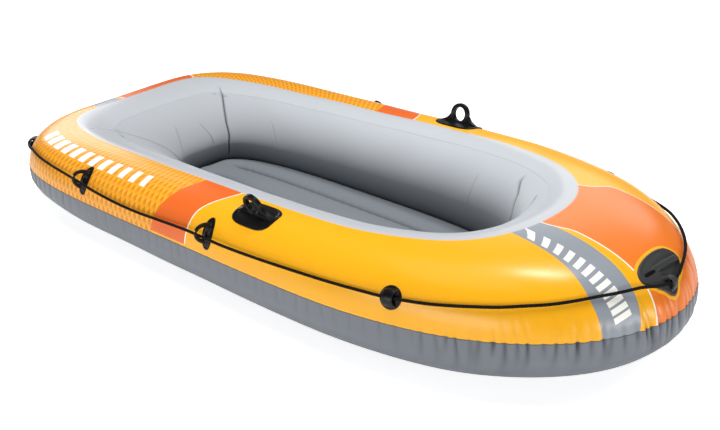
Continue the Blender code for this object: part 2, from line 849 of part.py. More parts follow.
def oarlock_outline():
    """The ear's edge from foot to foot, over its round head."""
    foot = [(-OARLOCK_FOOT_HALF, OARLOCK_FOOT_HEIGHT), (-OARLOCK_NECK_HALF, OARLOCK_NECK_HEIGHT)]
    head = []
    for turn in np.linspace(180 + OARLOCK_HEAD_WRAP, -OARLOCK_HEAD_WRAP, OARLOCK_HEAD_POINTS):
        angle = math.radians(turn)
        x = OARLOCK_HEAD_RADIUS * math.cos(angle)
        head.append((x, OARLOCK_EYE_HEIGHT + OARLOCK_HEAD_RADIUS * math.sin(angle)))
    start = (-OARLOCK_FOOT_HALF, -2 * PAD_SINK)
    edge = [start] + foot + head + [(-x, y) for x, y in reversed([start] + foot)]
    return edge


def build_oarlock(name, skin, frame):
    outline = oval(OARLOCK_HALF_LENGTH, OARLOCK_HALF_WIDTH, OARLOCK_CORNER_POWER, 24)
    item = pad(name, skin, frame, outline, PAD_THICKNESS)
    half = OARLOCK_HALF_THICKNESS
    edge = oarlock_outline()
    rings = [[Vector((x, y, z)) for x, z in edge] for y in (-half, half)]
    ear = capped_object("ear", rings)
    eye = rod("eye", OARLOCK_EYE_RADIUS, 2 * half, 0.0, OARLOCK_EYE_HEIGHT, 24)
    combine(ear, eye, "DIFFERENCE")
    place(ear, frame)
    combine(item, ear, "UNION")
    skin.trim(item)
    return finish(item)


def build_bow_patch(hull, skin):
    frame = hull.frame(*BOW_PATCH_PLACE)
    outline = rounded(BOW_PATCH_OUTLINE, 3)
    item = pad("bow_patch", skin, frame, outline, PAD_THICKNESS)
    start, end = BOW_RIB
    heights = (0.0, BOW_RIB_HEIGHT, BOW_RIB_HEIGHT, BOW_RIB_HEIGHT, 0.0)
    path = []
    for index, height in enumerate(heights):
        share = index / (len(heights) - 1)
        u = start[0] + (end[0] - start[0]) * share
        v = start[1] + (end[1] - start[1]) * share
        path.append(skin.spot(frame, u, v, height - BOW_RIB_RADIUS / 2))
    rib = sweep("rib", path, BOW_RIB_RADIUS, BOW_RIB_RADIUS, 8, frame[2])
    combine(item, rib, "UNION")
    eye_frame = (skin.spot(frame, BOW_EYE_ACROSS, BOW_EYE_UP, 0.0),) + frame[1:]
    path = loop_path(eye_frame, BOW_EYE_HALF_ROOT, BOW_EYE_HEIGHT)
    eye = sweep("rope_eye", path, BOW_EYE_HALF_THICKNESS, BOW_EYE_HALF_WIDTH, 12, frame[1])
    combine(item, eye, "UNION")
    skin.trim(item)
    return finish(item)


# Grab line
def knot_ends(hull):
    """The knot's end towards the bow and its end towards the stern."""
    share = KNOT_HALF_LENGTH / hull.half_length
    return [hull.lifted(KNOT_ALONG_SHARE + side * share, KNOT_TURN, KNOT_LIFT) for side in (-1, 1)]


def build_rope(hull):
    """One line round the hull; its two ends meet in the knot on the far side."""
    bow_end, stern_end = knot_ends(hull)
    heading = (stern_end - bow_end).normalized()
    ahead = tuple(spot for spot in FAR_ROUTE if spot[0] < KNOT_ALONG_SHARE)
    behind = tuple(spot for spot in FAR_ROUTE if spot[0] > KNOT_ALONG_SHARE)
    route = [hull.lifted(*spot) for spot in ahead[::-1] + NEAR_ROUTE + behind[::-1]]
    straight = KNOT_HALF_LENGTH
    first = [bow_end - heading * reach for reach in (GAP, straight)]
    last = [stern_end + heading * reach for reach in (straight, GAP)]
    points = first + route + last
    curve = bpy.data.curves.new("grab_line", "CURVE")
    curve.dimensions = "3D"
    curve.bevel_depth = ROPE_RADIUS
    curve.bevel_resolution = 2
    curve.use_fill_caps = True
    line = curve.splines.new("POLY")
    line.points.add(len(points) - 1)
    for spot, point in zip(line.points, points):
        spot.co = (*point, 1.0)
    bare = bpy.data.objects.new("line_curve", curve)
    bpy.context.collection.objects.link(bare)
    graph = bpy.context.evaluated_depsgraph_get()
    mesh = bpy.data.meshes.new_from_object(bare.evaluated_get(graph))
    bpy.data.objects.remove(bare, do_unlink=True)
    item = bpy.data.objects.new("grab_line", mesh)
    bpy.context.collection.objects.link(item)
    weld = bmesh.new()
    weld.from_mesh(mesh)
    bmesh.ops.remove_doubles(weld, verts=weld.verts, dist=GAP / 10)
    bmesh.ops.recalc_face_normals(weld, faces=weld.faces)
    weld.to_mesh(mesh)
    weld.free()
    print("grab line length", round(sum((b - a).length for a, b in zip(points, points[1:])), 4))
    return finish(item)


def build_knot(hull):
    """Two wraps pulled tight: a short body with a waist, in line with the rope."""
    start, end = knot_ends(hull)
    heading = (end - start).normalized()
    side = heading.orthogonal().normalized()
    over = heading.cross(side)
    wrap = (KNOT_SHOULDER_SHARE, 1.0)
    shape = (KNOT_END_SHARE, *wrap, KNOT_WAIST_SHARE, *wrap[::-1], KNOT_END_SHARE)
    rings = []
    for index, share in enumerate(shape):
        centre = start.lerp(end, index / (len(shape) - 1))
        ring = circle(KNOT_RADIUS * share, 12)
        rings.append([centre + side * spot.x + over * spot.y for spot in ring])
    return finish(capped_object("rope_knot", rings))


# Valves
def build_valve_base(name, frame, scale):
    flange = VALVE_FLANGE_RADIUS * scale
    barrel = VALVE_BARREL_RADIUS * scale
    bore = VALVE_BORE_RADIUS * scale
    thick = VALVE_FLANGE_THICKNESS * scale
    neck = VALVE_NECK_HEIGHT * scale
    depth = VALVE_BARREL_DEPTH * scale
    reach = HINGE_REACH * scale
    profile = (
        (bore, -depth),
        (barrel, -depth),
        (barrel, 0.0),
        (flange, 0.0),
        (flange, thick * PAD_EDGE_SHARE),
        (barrel + thick, thick),
        (barrel, neck),
        (bore, neck),
    )
    item = lathe(name, profile, VALVE_SIDES)
    inner = (HINGE_EYE_HALF_WIDTH + GAP) * scale
    outer = inner + HINGE_EAR_WIDTH * scale
    half = HINGE_EAR_HALF_DEPTH * scale
    for side in (-1, 1):
        near, far = sorted((side * inner, side * outer))
        low = (reach - half, near, thick / 2)
        high = (reach + half, far, neck + half)
        combine(item, box("ear", low, high), "UNION")
    pin_half = outer - GAP
    pin = rod("pin", HINGE_PIN_RADIUS * scale, pin_half, reach, neck, 10)
    combine(item, pin, "UNION")
    return finish(place(item, frame))


def build_valve_core(name, frame, scale):
    hole = CORE_HOLE_RADIUS * scale
    outer = VALVE_BORE_RADIUS * scale - GAP
    grip = CORE_GRIP_RADIUS * scale
    neck = VALVE_NECK_HEIGHT * scale
    profile = (
        (hole, -CORE_DEPTH * scale),
        (outer, -CORE_DEPTH * scale),
        (outer, neck + GAP),
        (grip, neck + GAP),
        (grip, CORE_TOP * scale),
        (hole, CORE_TOP * scale),
    )
    return finish(place(lathe(name, profile, VALVE_SIDES), frame))


def build_valve_flap(name, frame, scale):
    top = -CORE_DEPTH * scale - GAP
    item = disc(name, FLAP_RADIUS * scale, top - FLAP_THICKNESS * scale, top, VALVE_SIDES)
    return finish(place(item, frame))


def build_valve_cap(name, frame, scale, seat, plug_radius):
    """A cap on its strap: it turns about the pin, and its plug enters the hole below."""
    bottom = seat + GAP
    top = bottom + CAP_THICKNESS * scale
    reach = HINGE_REACH * scale
    neck = VALVE_NECK_HEIGHT * scale
    item = disc(name, CAP_RADIUS * scale, bottom, top, VALVE_SIDES)
    plug_low = bottom - CAP_PLUG_DEPTH * scale
    combine(item, disc("plug", plug_radius, plug_low, bottom + GAP, 16), "UNION")
    eye = HINGE_EYE_RADIUS * scale
    half = HINGE_EYE_HALF_WIDTH * scale
    low = (CAP_RADIUS * scale * STRAP_START_SHARE, -half, bottom)
    strap_top = bottom + CAP_THICKNESS * scale * STRAP_THICKNESS_SHARE
    high = (reach + eye * STRAP_END_SHARE, half, strap_top)
    combine(item, box("strap", low, high), "UNION")
    combine(item, rod("eye", eye, half, reach, neck, 16), "UNION")
    hole = rod("hole", HINGE_PIN_RADIUS * scale + GAP, 2 * half, reach, neck, 10)
    combine(item, hole, "DIFFERENCE")
    return finish(place(item, frame))


def build_pocket(chamber, frame, scale):
    """A blind hole in the chamber for the valve's barrel."""
    radius = VALVE_BARREL_RADIUS * scale + GAP
    depth = VALVE_POCKET_DEPTH * scale
    pocket = disc("pocket", radius, -depth, depth, VALVE_SIDES)
    combine(chamber, place(pocket, frame), "DIFFERENCE")


def build_screw_valve(prefix, chamber, frame):
    origin, across, up, out = frame
    frame = (origin + out * GAP, across, up, out)
    build_pocket(chamber, frame, 1.0)
    build_valve_base(prefix + "_base", frame, 1.0)
    build_valve_core(prefix + "_core", frame, 1.0)
    build_valve_flap(prefix + "_flap", frame, 1.0)
    build_valve_cap(prefix + "_cap", frame, 1.0, CORE_TOP, CAP_PLUG_RADIUS)
    report_frame(prefix, frame)


def build_floor_valve(floor):
    across = Vector((1.0, 0.0, 0.0))
    up = Vector((0.0, 1.0, 0.0))
    out = Vector((0.0, 0.0, 1.0))
    x = HALF_LENGTH * FLOOR_VALVE_LENGTH_SHARE
    y = HALF_BEAM * FLOOR_VALVE_BEAM_SHARE
    frame = (Vector((x, y, FLOOR_HEIGHT + GAP)), across, up, out)
    scale = FLOOR_VALVE_SCALE
    build_pocket(floor, frame, scale)
    build_valve_base("floor_valve_body", frame, scale)
    seat = VALVE_NECK_HEIGHT * scale
    plug_radius = VALVE_BORE_RADIUS * scale * FLOOR_PLUG_SHARE
    build_valve_cap("floor_valve_plug", frame, scale, seat, plug_radius)
    report_frame("floor_valve", frame)


def report_frame(name, frame):
    for label, vector in zip(("origin", "across", "up", "out"), frame):
        print(name, label, [round(value, 5) for value in vector])


def build():
    clear_scene()
    hull = Hull()
    outer = build_outer_chamber(hull)
    inner = build_inner_chamber(hull)
    floor = build_floor(hull)
    finish(build_bottom(hull), COLOURS["hull_bottom"])
    finish(build_seam(hull), COLOURS["seam_flange"])
    skin = Skin(outer)
    build_guides(hull, skin)
    build_oarlock("oarlock_near", skin, hull.frame(-OARLOCK_PLACE[0], OARLOCK_PLACE[1]))
    build_oarlock("oarlock_far", skin, hull.frame(*OARLOCK_PLACE))
    build_bow_patch(hull, skin)
    build_rope(hull)
    build_knot(hull)
    build_screw_valve("outer_valve", outer, hull.frame(*OUTER_VALVE_PLACE))
    build_screw_valve("inner_valve", inner, hull.frame(*INNER_VALVE_PLACE))
    build_floor_valve(floor)
    finish(outer, COLOURS["outer_chamber"])
    finish(inner, COLOURS["inner_chamber"])
    finish(floor, COLOURS["floor_chamber"])


build()
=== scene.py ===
"""Looks of an inflatable fishing boat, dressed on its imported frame.

Metres. +X is the bow, +Z is up, and the camera stands on the -Y side, called near here.
A place on the hull is (along, turn, lift), as in the part's source: along is the share of
half the outline, 0 at the bow and 1 at the stern, below zero on the near side; turn is the
angle round the tube, 0 outside, 90 on its crest and 180 inside; lift is off the skin.
"""

import math

import bmesh
import bpy
import numpy as np
from mathutils import Matrix, Vector
from mathutils.bvhtree import BVHTree


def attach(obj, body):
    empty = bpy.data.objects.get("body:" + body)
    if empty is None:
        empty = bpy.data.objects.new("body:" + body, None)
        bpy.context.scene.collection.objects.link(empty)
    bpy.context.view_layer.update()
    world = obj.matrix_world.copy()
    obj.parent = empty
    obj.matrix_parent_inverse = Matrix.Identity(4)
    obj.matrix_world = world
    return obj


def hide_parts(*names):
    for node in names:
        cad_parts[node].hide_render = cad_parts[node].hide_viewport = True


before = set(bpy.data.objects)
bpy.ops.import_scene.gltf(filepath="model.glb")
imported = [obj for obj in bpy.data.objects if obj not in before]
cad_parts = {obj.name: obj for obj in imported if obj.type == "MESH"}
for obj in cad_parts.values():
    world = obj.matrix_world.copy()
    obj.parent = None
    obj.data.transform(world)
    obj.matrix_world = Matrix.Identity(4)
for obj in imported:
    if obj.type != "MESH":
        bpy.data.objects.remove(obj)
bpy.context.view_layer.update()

# Hull surface, repeated from the part's source
HALF_LENGTH = 1.18
HALF_BEAM = 0.53
CREST_HEIGHT = 0.304
GAP = 0.0003
SHEET = 0.0012
OUTSIDE_HEIGHT = 0.4276 * CREST_HEIGHT
INSIDE_HEIGHT = 0.5263 * CREST_HEIGHT
KEEL_SHARE = 0.59
BOW_RISE = 0.13
WELD_TURN = 115.0
SEAM_TURN = 7.1
# Lines of its plan: reach to bow and to stern, half width, flare, roundness at bow and at stern
OUTSIDE = (HALF_LENGTH, HALF_LENGTH, HALF_BEAM, 0.0, (3.15, 1.9), (6.5, 4.7))
CREST = (
    0.6525 * HALF_LENGTH, 0.894 * HALF_LENGTH, 0.6717 * HALF_BEAM, 0.067, (3.25, 2.4), (6.3, 6.3),
)
INSIDE = (
    0.5085 * HALF_LENGTH, 0.5932 * HALF_LENGTH, 0.3774 * HALF_BEAM, 0.118, (3.0, 3.1), (3.4, 3.9),
)
# Roundness of its section on the outer and the inner side
ROUND_ABOVE = (2.75, 1.7)
ROUND_BELOW = (1.95, 2.2)


def signed_power(value, exponent):
    return np.sign(value) * np.abs(value) ** exponent


def plan_curve(swing, reach_bow, reach_stern, half_width, flare, bow_round, stern_round):
    bow = np.cos(swing) >= 0
    power_x = np.where(bow, bow_round[0], stern_round[0])
    power_y = np.where(bow, bow_round[1], stern_round[1])
    x = np.where(bow, reach_bow, reach_stern) * signed_power(np.cos(swing), 2 / power_x)
    y = half_width * np.abs(np.sin(swing)) ** (2 / power_y)
    return np.stack([x, y * (1 + flare * x / HALF_LENGTH)], axis=-1)


class Hull:
    """The hull's skin as a formula, for whole arrays of places at once."""

    def __init__(self):
        self.quarters = []
        for start in (0.0, math.pi / 2):
            swing = np.linspace(start, start + math.pi / 2, 1200)
            quarter = []
            for shape in (OUTSIDE, CREST, INSIDE):
                curve = plan_curve(swing, *shape)
                steps = np.linalg.norm(np.diff(curve, axis=0), axis=1)
                quarter.append((np.concatenate([[0.0], np.cumsum(steps)]), curve))
            self.quarters.append(quarter)
        self.lengths = [quarter[0][0][-1] for quarter in self.quarters]
        self.half = sum(self.lengths)

    def plan(self, along):
        along = np.asarray(along, dtype=float)
        length = np.minimum(np.abs(along), 1.0) * self.half
        aft = length > self.lengths[0]
        side = np.where(along < 0, -1.0, 1.0)
        result = []
        for which in range(3):
            spots = []
            for index, start in enumerate((0.0, self.lengths[0])):
                lengths, curve = self.quarters[index][which]
                at = (length - start) / self.lengths[index] * lengths[-1]
                spots.append([np.interp(at, lengths, curve[:, axis]) for axis in (0, 1)])
            x = np.where(aft, spots[1][0], spots[0][0])
            y = np.where(aft, spots[1][1], spots[0][1])
            result.append(np.stack([x, side * y], axis=-1))
        return result

    def points(self, along, turn):
        along, turn = np.broadcast_arrays(np.asarray(along, float), np.asarray(turn, float))
        outside, crest, inside = self.plan(along)
        angle = np.radians(turn)
        outer = np.cos(angle) >= 0
        top = np.sin(angle) >= 0
        power = np.where(top, np.where(outer, *ROUND_ABOVE), np.where(outer, *ROUND_BELOW))
        across = np.abs(np.cos(angle)) ** (2 / power)
        up = np.abs(np.sin(angle)) ** (2 / power)
        middle = np.where(top[..., None], crest, outside + (inside - outside) * KEEL_SHARE)
        end = np.where(outer[..., None], outside, inside)
        waist = np.where(outer, OUTSIDE_HEIGHT, INSIDE_HEIGHT)
        height = np.where(top, waist + (CREST_HEIGHT - waist) * up, waist * (1 - up))
        height = height * (1 + BOW_RISE * outside[..., 0] / HALF_LENGTH)
        height = np.maximum(height, SHEET + GAP)
        plan = middle + (end - middle) * across[..., None]
        return np.concatenate([plan, height[..., None]], axis=-1)

    def point(self, along, turn):
        return Vector(self.points(along, turn))

    def frame(self, along, turn):
        """Origin on the skin, and the directions across, up and out of it."""
        step = 0.002
        origin = self.point(along, turn)
        if step < abs(along) < 1 - step:
            tangent = self.point(along + step, turn) - self.point(along - step, turn)
        else:
            reach = step if abs(along) < step else abs(along) - step
            tangent = self.point(reach, turn) - self.point(-reach, turn)
        rise = self.point(along, turn + 1) - self.point(along, turn - 1)
        out = rise.cross(tangent).normalized()
        centre = (self.point(along, 0) + self.point(along, 180)) / 2
        if out.dot(origin - centre) < 0:
            out = -out
        across = tangent.normalized()
        if out.cross(across).dot(rise) < 0:
            across = -across
        return origin, across, out.cross(across), out

    def lifted(self, along, turn, lift):
        origin, _across, _up, out = self.frame(along, turn)
        return origin + out * lift


hull = Hull()


# Camera at the photograph's angle
PHOTO_WIDTH = 720
FOCAL_PIXELS = 1220.81
CAMERA_PLACE = (2.4913, -2.3657, 1.7493)
CAMERA_YAW, CAMERA_PITCH, CAMERA_ROLL = 2.3568, -0.4749, -0.0454
CAMERA_SHIFT = (-0.0184, 0.0469)


def make_camera():
    data = bpy.data.cameras.new("camera")
    data.sensor_width = 36.0
    data.lens = FOCAL_PIXELS / PHOTO_WIDTH * data.sensor_width
    data.shift_x, data.shift_y = CAMERA_SHIFT
    data.clip_end = 100.0
    camera = bpy.data.objects.new("camera", data)
    bpy.context.collection.objects.link(camera)
    flat = math.cos(CAMERA_PITCH)
    sideways, onward = math.sin(CAMERA_YAW), math.cos(CAMERA_YAW)
    ahead = Vector((flat * onward, flat * sideways, math.sin(CAMERA_PITCH)))
    right = Vector((sideways, -onward, 0.0))
    above = right.cross(ahead)
    cosine, sine = math.cos(CAMERA_ROLL), math.sin(CAMERA_ROLL)
    tilted_right = right * cosine + above * sine
    tilted_above = above * cosine - right * sine
    turn = Matrix((tilted_right, tilted_above, -ahead)).transposed().to_4x4()
    turn.translation = Vector(CAMERA_PLACE)
    camera.matrix_world = turn
    bpy.context.scene.camera = camera


make_camera()


# Mesh helpers
def add_object(name, mesh):
    item = bpy.data.objects.new(name, mesh)
    bpy.context.collection.objects.link(item)
    return item


def grid_mesh(name, grid, wrap_rows, wrap_columns, maps=None):
    """Quads over an array of points; maps gives two values a point, with a far end for wraps."""
    rows, columns = grid.shape[:2]
    row = np.arange(rows if wrap_rows else rows - 1)
    column = np.arange(columns if wrap_columns else columns - 1)
    row, column = (values.ravel() for values in np.meshgrid(row, column, indexing="ij"))
    corners = ((0, 0), (0, 1), (1, 1), (1, 0))
    faces = [((row + r) % rows) * columns + (column + c) % columns for r, c in corners]
    faces = np.stack(faces, axis=1)
    points = grid.reshape(-1, 3)
    low = points[faces]
    volume = np.einsum("ij,ij->i", low[:, 0], np.cross(low[:, 1], low[:, 2])).sum()
    volume += np.einsum("ij,ij->i", low[:, 0], np.cross(low[:, 2], low[:, 3])).sum()
    turned = volume < 0
    if turned:
        faces = faces[:, ::-1]
        corners = corners[::-1]
    mesh = bpy.data.meshes.new(name)
    mesh.vertices.add(len(points))
    mesh.vertices.foreach_set("co", points.astype(np.float32).ravel())
    mesh.loops.add(faces.size)
    mesh.loops.foreach_set("vertex_index", faces.astype(np.int32).ravel())
    mesh.polygons.add(len(faces))
    mesh.polygons.foreach_set("loop_start", np.arange(0, faces.size, 4, dtype=np.int32))
    mesh.polygons.foreach_set("use_smooth", np.ones(len(faces), dtype=bool))
    mesh.update(calc_edges=True)
    for label, values in (maps or {}).items():
        layer = mesh.uv_layers.new(name=label)
        spots = [values[row + r, column + c] for r, c in corners]
        layer.data.foreach_set("uv", np.stack(spots, axis=1).astype(np.float32).ravel())
    mesh.validate()
    return mesh


def smooth(item, angle=None):
    mesh = item.data
    mesh.polygons.foreach_set("use_smooth", [True] * len(mesh.polygons))
    if angle is not None:
        mesh.set_sharp_from_angle(angle=math.radians(angle))
    return item


def close_rims(mesh, weld=None):
    """Closes a mesh's open rims and turns its faces outwards; weld joins points that near."""
    edit = bmesh.new()
    edit.from_mesh(mesh)
    if weld:
        bmesh.ops.remove_doubles(edit, verts=edit.verts, dist=weld)
    bmesh.ops.holes_fill(edit, edges=[edge for edge in edit.edges if edge.is_boundary])
    bmesh.ops.recalc_face_normals(edit, faces=edit.faces)
    edit.to_mesh(mesh)
    edit.free()
    return mesh


def ease(share):
    """Nought to one with a soft start and a soft end."""
    share = np.clip(share, 0, 1)
    return share * share * (3 - 2 * share)


def curve_spot(p0, p1, p2, p3, t):
    """A place on the smooth curve from p1 to p2, whose neighbours are p0 and p3."""
    pull = (p2 - p0) * t + (2 * p0 - 5 * p1 + 4 * p2 - p3) * t**2
    return p1 + (pull + (3 * p1 - p0 - 3 * p2 + p3) * t**3) / 2


def dress(item, material):
    item.data.materials.clear()
    item.data.materials.append(material)
    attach(item, "hull")
    return item


# Grab line: its route is repeated from the part's source
NEAR_ROUTE = (
    (0.000, 29.0, 0.0125), (-0.013, 30.5, 0.0125), (-0.030, 34.0, 0.012),
    (-0.050, 35.5, 0.009), (-0.070, 36.3, 0.008), (-0.091, 35.8, 0.008),
    (-0.112, 35.0, 0.008), (-0.133, 34.5, 0.008), (-0.154, 33.3, 0.008),
    (-0.175, 32.5, 0.008), (-0.197, 31.3, 0.008), (-0.220, 30.0, 0.0085),
    (-0.2533, 29.0, 0.0115), (-0.280, 29.0, 0.0105), (-0.312, 28.7, 0.0105),
    (-0.352, 28.1, 0.0115), (-0.402, 26.7, 0.014), (-0.450, 25.8, 0.019),
    (-0.4834, 26.4, 0.022), (-0.512, 26.3, 0.020), (-0.550, 24.6, 0.015),
    (-0.590, 22.9, 0.013), (-0.628, 23.5, 0.014), (-0.665, 26.3, 0.019),
    (-0.6933, 29.2, 0.022), (-0.720, 30.7, 0.019), (-0.750, 31.7, 0.014),
    (-0.780, 32.3, 0.0105), (-0.800, 32.7, 0.009), (-0.816, 32.5, 0.0078),
    (-0.830, 30.8, 0.0075), (-0.843, 27.5, 0.0078), (-0.855, 23.5, 0.009),
    (-0.868, 20.0, 0.0115), (-0.882, 19.5, 0.010), (-0.896, 20.5, 0.0085),
    (-0.910, 22.0, 0.0080), (-0.930, 23.3, 0.008), (-0.965, 24.3, 0.008),
    (-1.000, 24.8, 0.008),
)
FAR_ROUTE = (
    (0.015, 29.5, 0.0125), (0.032, 32.0, 0.011), (0.050, 33.0, 0.008),
    (0.070, 33.5, 0.0065), (0.091, 34.0, 0.006), (0.112, 34.3, 0.006),
    (0.133, 33.5, 0.006), (0.150, 31.5, 0.006), (0.166, 29.5, 0.006),
    (0.182, 28.0, 0.006), (0.200, 27.3, 0.0068), (0.225, 27.0, 0.009),
    (0.2533, 27.0, 0.0115), (0.280, 26.2, 0.0115), (0.330, 24.5, 0.010),
    (0.400, 23.4, 0.010), (0.450, 23.6, 0.011), (0.4834, 24.0, 0.0115),
    (0.515, 23.5, 0.011), (0.560, 22.6, 0.010), (0.620, 22.6, 0.010),
    (0.665, 23.6, 0.011), (0.6933, 24.0, 0.0115), (0.715, 24.1, 0.012),
    (0.735, 24.3, 0.0135), (0.795, 24.8, 0.0135), (0.8252, 26.0, 0.0115),
    (0.842, 26.2, 0.010), (0.855, 26.2, 0.009), (0.868, 26.0, 0.009),
    (0.881, 25.8, 0.009), (0.894, 25.6, 0.009), (0.908, 25.4, 0.009),
    (0.930, 25.2, 0.008), (0.965, 25.0, 0.008),
)
KNOT_PLACE = (0.765, 24.5, 0.0175)
KNOT_HALF = 0.016
ROPE_RADIUS = 0.0042
ROPE_STEP = 0.0022
BRAID_PITCH = 0.011
BRAID_STRANDS = 4
BRAID_RELIEF = 0.00028
END_TAPER = 0.3


def rope_route():
    share = KNOT_HALF / hull.half
    bow_end, stern_end = (
        hull.lifted(KNOT_PLACE[0] + side * share, *KNOT_PLACE[1:]) for side in (-1, 1)
    )
    heading = (stern_end - bow_end).normalized()
    ahead = tuple(spot for spot in FAR_ROUTE if spot[0] < KNOT_PLACE[0])
    behind = tuple(spot for spot in FAR_ROUTE if spot[0] > KNOT_PLACE[0])
    route = [hull.lifted(*spot) for spot in ahead[::-1] + NEAR_ROUTE + behind[::-1]]
    first = [bow_end - heading * reach for reach in (GAP, KNOT_HALF)]
    last = [stern_end + heading * reach for reach in (KNOT_HALF, GAP)]
    return first + route + last


def smooth_path(points, step):
    """Evenly spaced places on a smooth curve through the given points."""
    points = np.array([tuple(point) for point in points])
    ends = np.vstack([2 * points[0] - points[1], points, 2 * points[-1] - points[-2]])
    t = np.linspace(0, 1, 24, endpoint=False)[:, None]
    parts = [curve_spot(*four, t) for four in zip(ends, ends[1:], ends[2:], ends[3:])]
    dense = np.vstack(parts + [points[-1:]])
    run = np.concatenate([[0.0], np.cumsum(np.linalg.norm(np.diff(dense, axis=0), axis=1))])
    marks = np.linspace(0, run[-1], int(round(run[-1] / step)) + 1)
    return np.stack([np.interp(marks, run, dense[:, axis]) for axis in range(3)], axis=1), marks


def tube_mesh(name, path, run, radius, sides, relief):
    """A tube along a path that doesn't twist, with a map of (run, share round it)."""
    heading = np.gradient(path, axis=0)
    heading /= np.linalg.norm(heading, axis=1)[:, None]
    side = np.cross(heading[0], (0.0, 0.0, 1.0))
    across = []
    for direction in heading:
        side = side - direction * side.dot(direction)
        side = side / np.linalg.norm(side)
        across.append(side)
    across = np.array(across)
    over = np.cross(heading, across)
    angle = np.linspace(0, 2 * math.pi, sides, endpoint=False)
    reach = np.full((len(path), sides), radius) + relief(run[:, None], angle[None, :])
    reach[0] *= END_TAPER
    reach[-1] *= END_TAPER
    level, rise = np.cos(angle)[None, :, None], np.sin(angle)[None, :, None]
    grid = path[:, None] + reach[..., None] * (across[:, None] * level + over[:, None] * rise)
    share = np.linspace(0, 1, sides + 1)
    maps = np.stack(np.broadcast_arrays(run[:, None], share[None, :]), axis=-1)
    return close_rims(grid_mesh(name, grid, False, True, {"strand": maps}))


def braid_relief(run, angle):
    """Strands that cross over each other, as on a braided line."""
    right = np.sin(BRAID_STRANDS * angle + 2 * math.pi * run / BRAID_PITCH)
    left = np.sin(BRAID_STRANDS * angle - 2 * math.pi * run / BRAID_PITCH)
    return BRAID_RELIEF * (np.maximum(right, left) - 0.3)


def make_rope():
    path, run = smooth_path(rope_route(), ROPE_STEP)
    mesh = tube_mesh("rope_line", path, run, ROPE_RADIUS, 16, braid_relief)
    return add_object("rope_line", mesh), path, run[-1]


# Skin relief: flutes along the outer seam and creases in the corners
class Flutes:
    """Pinched folds that cross the seam, closest and deepest where the tube bends."""

    SPACING, CLOSER = 0.040, 0.013
    DEPTH, DEEPER = 0.0012, 0.0066
    BOW_BEND, STERN_BEND, STERN_FROM_END = 0.70, 0.24, 0.42
    TIP = 0.30
    REACH_ABOVE, REACH_BELOW = 0.058, 0.050
    BELOW_SHARE = 1.7
    SPREAD = 0.05

    def __init__(self, half):
        chance = np.random.default_rng(21)
        spots = []
        at = -half
        while at < half:
            bend = self.bend(abs(at), half)
            tip = math.exp(-((at / self.TIP) ** 4))
            at += (self.SPACING - self.CLOSER * bend) * chance.uniform(0.6, 1.4)
            deep = (self.DEPTH + self.DEEPER * bend) * chance.uniform(0.45, 1.15)
            wide = chance.uniform(0.0046, 0.0085)
            above = (0.38 + 0.50 * tip) * chance.uniform(0.6, 1.25)
            tall, lean = chance.uniform(0.55, 1.4), chance.uniform(-0.12, 0.12)
            spots.append((at, deep, wide, above, tall, lean))
        self.folds = [fold for fold in spots if fold[0] < half - 0.01]

    def bend(self, reach, half):
        bow = np.exp(-((reach / self.BOW_BEND) ** 4))
        away = half - reach - self.STERN_FROM_END
        stern = np.exp(-((away / self.STERN_BEND) ** 2)) * 0.75
        return np.clip(bow + stern, 0, 1)

    def depth(self, arc, rise):
        """Depth below the skin at places arc along the seam and rise above it."""
        total = np.zeros(np.broadcast(arc, rise).shape)
        for at, deep, wide, above, tall, lean in self.folds:
            near = np.abs(arc[:, 0] - at) < 6 * wide
            if not near.any():
                continue
            spread = 1 + np.abs(rise[near]) / self.SPREAD
            away = (arc[near] - at - lean * rise[near]) / (wide * spread)
            upper = rise[near] > 0
            reach = np.where(upper, self.REACH_ABOVE * tall, self.REACH_BELOW * tall)
            fade = np.exp(-((np.abs(rise[near]) / reach) ** 1.6))
            valley = np.exp(-(np.abs(away) ** 1.4)) - 0.34 * np.exp(-((away / 2.4) ** 2))
            total[near] += deep * np.where(upper, above, self.BELOW_SHARE) * valley * fade
        return total


# Folds of the inner wall: the places (along, turn) that each passes on the far side, then its
# width, depth and the strength of the shade painted along it on each side that has it
FAR, NEAR = 1, -1
FOLDS = (
    (((0.866, 102), (0.8825, 121.5), (0.898, 136), (0.912, 150), (0.927, 176), (0.928, 205)),
     (FAR, 0.0021, 0.0120, 1.0), (NEAR, 0.0021, 0.0110, 0.9)),
    (((0.897, 116), (0.865, 116), (0.832, 119), (0.815, 126)), (NEAR, 0.0020, 0.0036, 0.75)),
    (((0.897, 117), (0.868, 120)), (FAR, 0.0018, 0.0024, 0.5)),
    (((0.988, 138), (0.972, 150), (0.957, 163), (0.953, 176)), (NEAR, 0.0018, 0.0024, 0.45)),
    (((0.965, 142), (0.960, 160), (0.962, 178)), (FAR, 0.0018, 0.0024, 0.45)),
    (((0.180, 121), (0.168, 131), (0.139, 143), (0.112, 162), (0.095, 188)),
     (FAR, 0.0030, 0.0080, 1.0), (NEAR, 0.0024, 0.0060, 0.85)),
    (((0.099, 127), (0.084, 132), (0.060, 142), (0.045, 160)), (FAR, 0.0027, 0.0060, 0.95)),
    (((0.105, 127), (0.088, 134), (0.066, 145), (0.052, 160)), (NEAR, 0.0021, 0.0040, 0.7)),
    (((0.262, 138), (0.250, 160), (0.246, 182)),
     (FAR, 0.0020, 0.0018, 0.3), (NEAR, 0.0020, 0.0018, 0.3)),
    (((0.795, 140), (0.802, 165), (0.800, 188)),
     (FAR, 0.0020, 0.0018, 0.3), (NEAR, 0.0020, 0.0018, 0.3)),
)
CREASES = [
    ([(which * along, turn) for along, turn in places], *sizes)
    for places, *sides in FOLDS
    for which, *sizes in sides
]
INNER_SHARE = 0.55
TUBE_RADIUS = 0.13
CREASE_END = 0.16


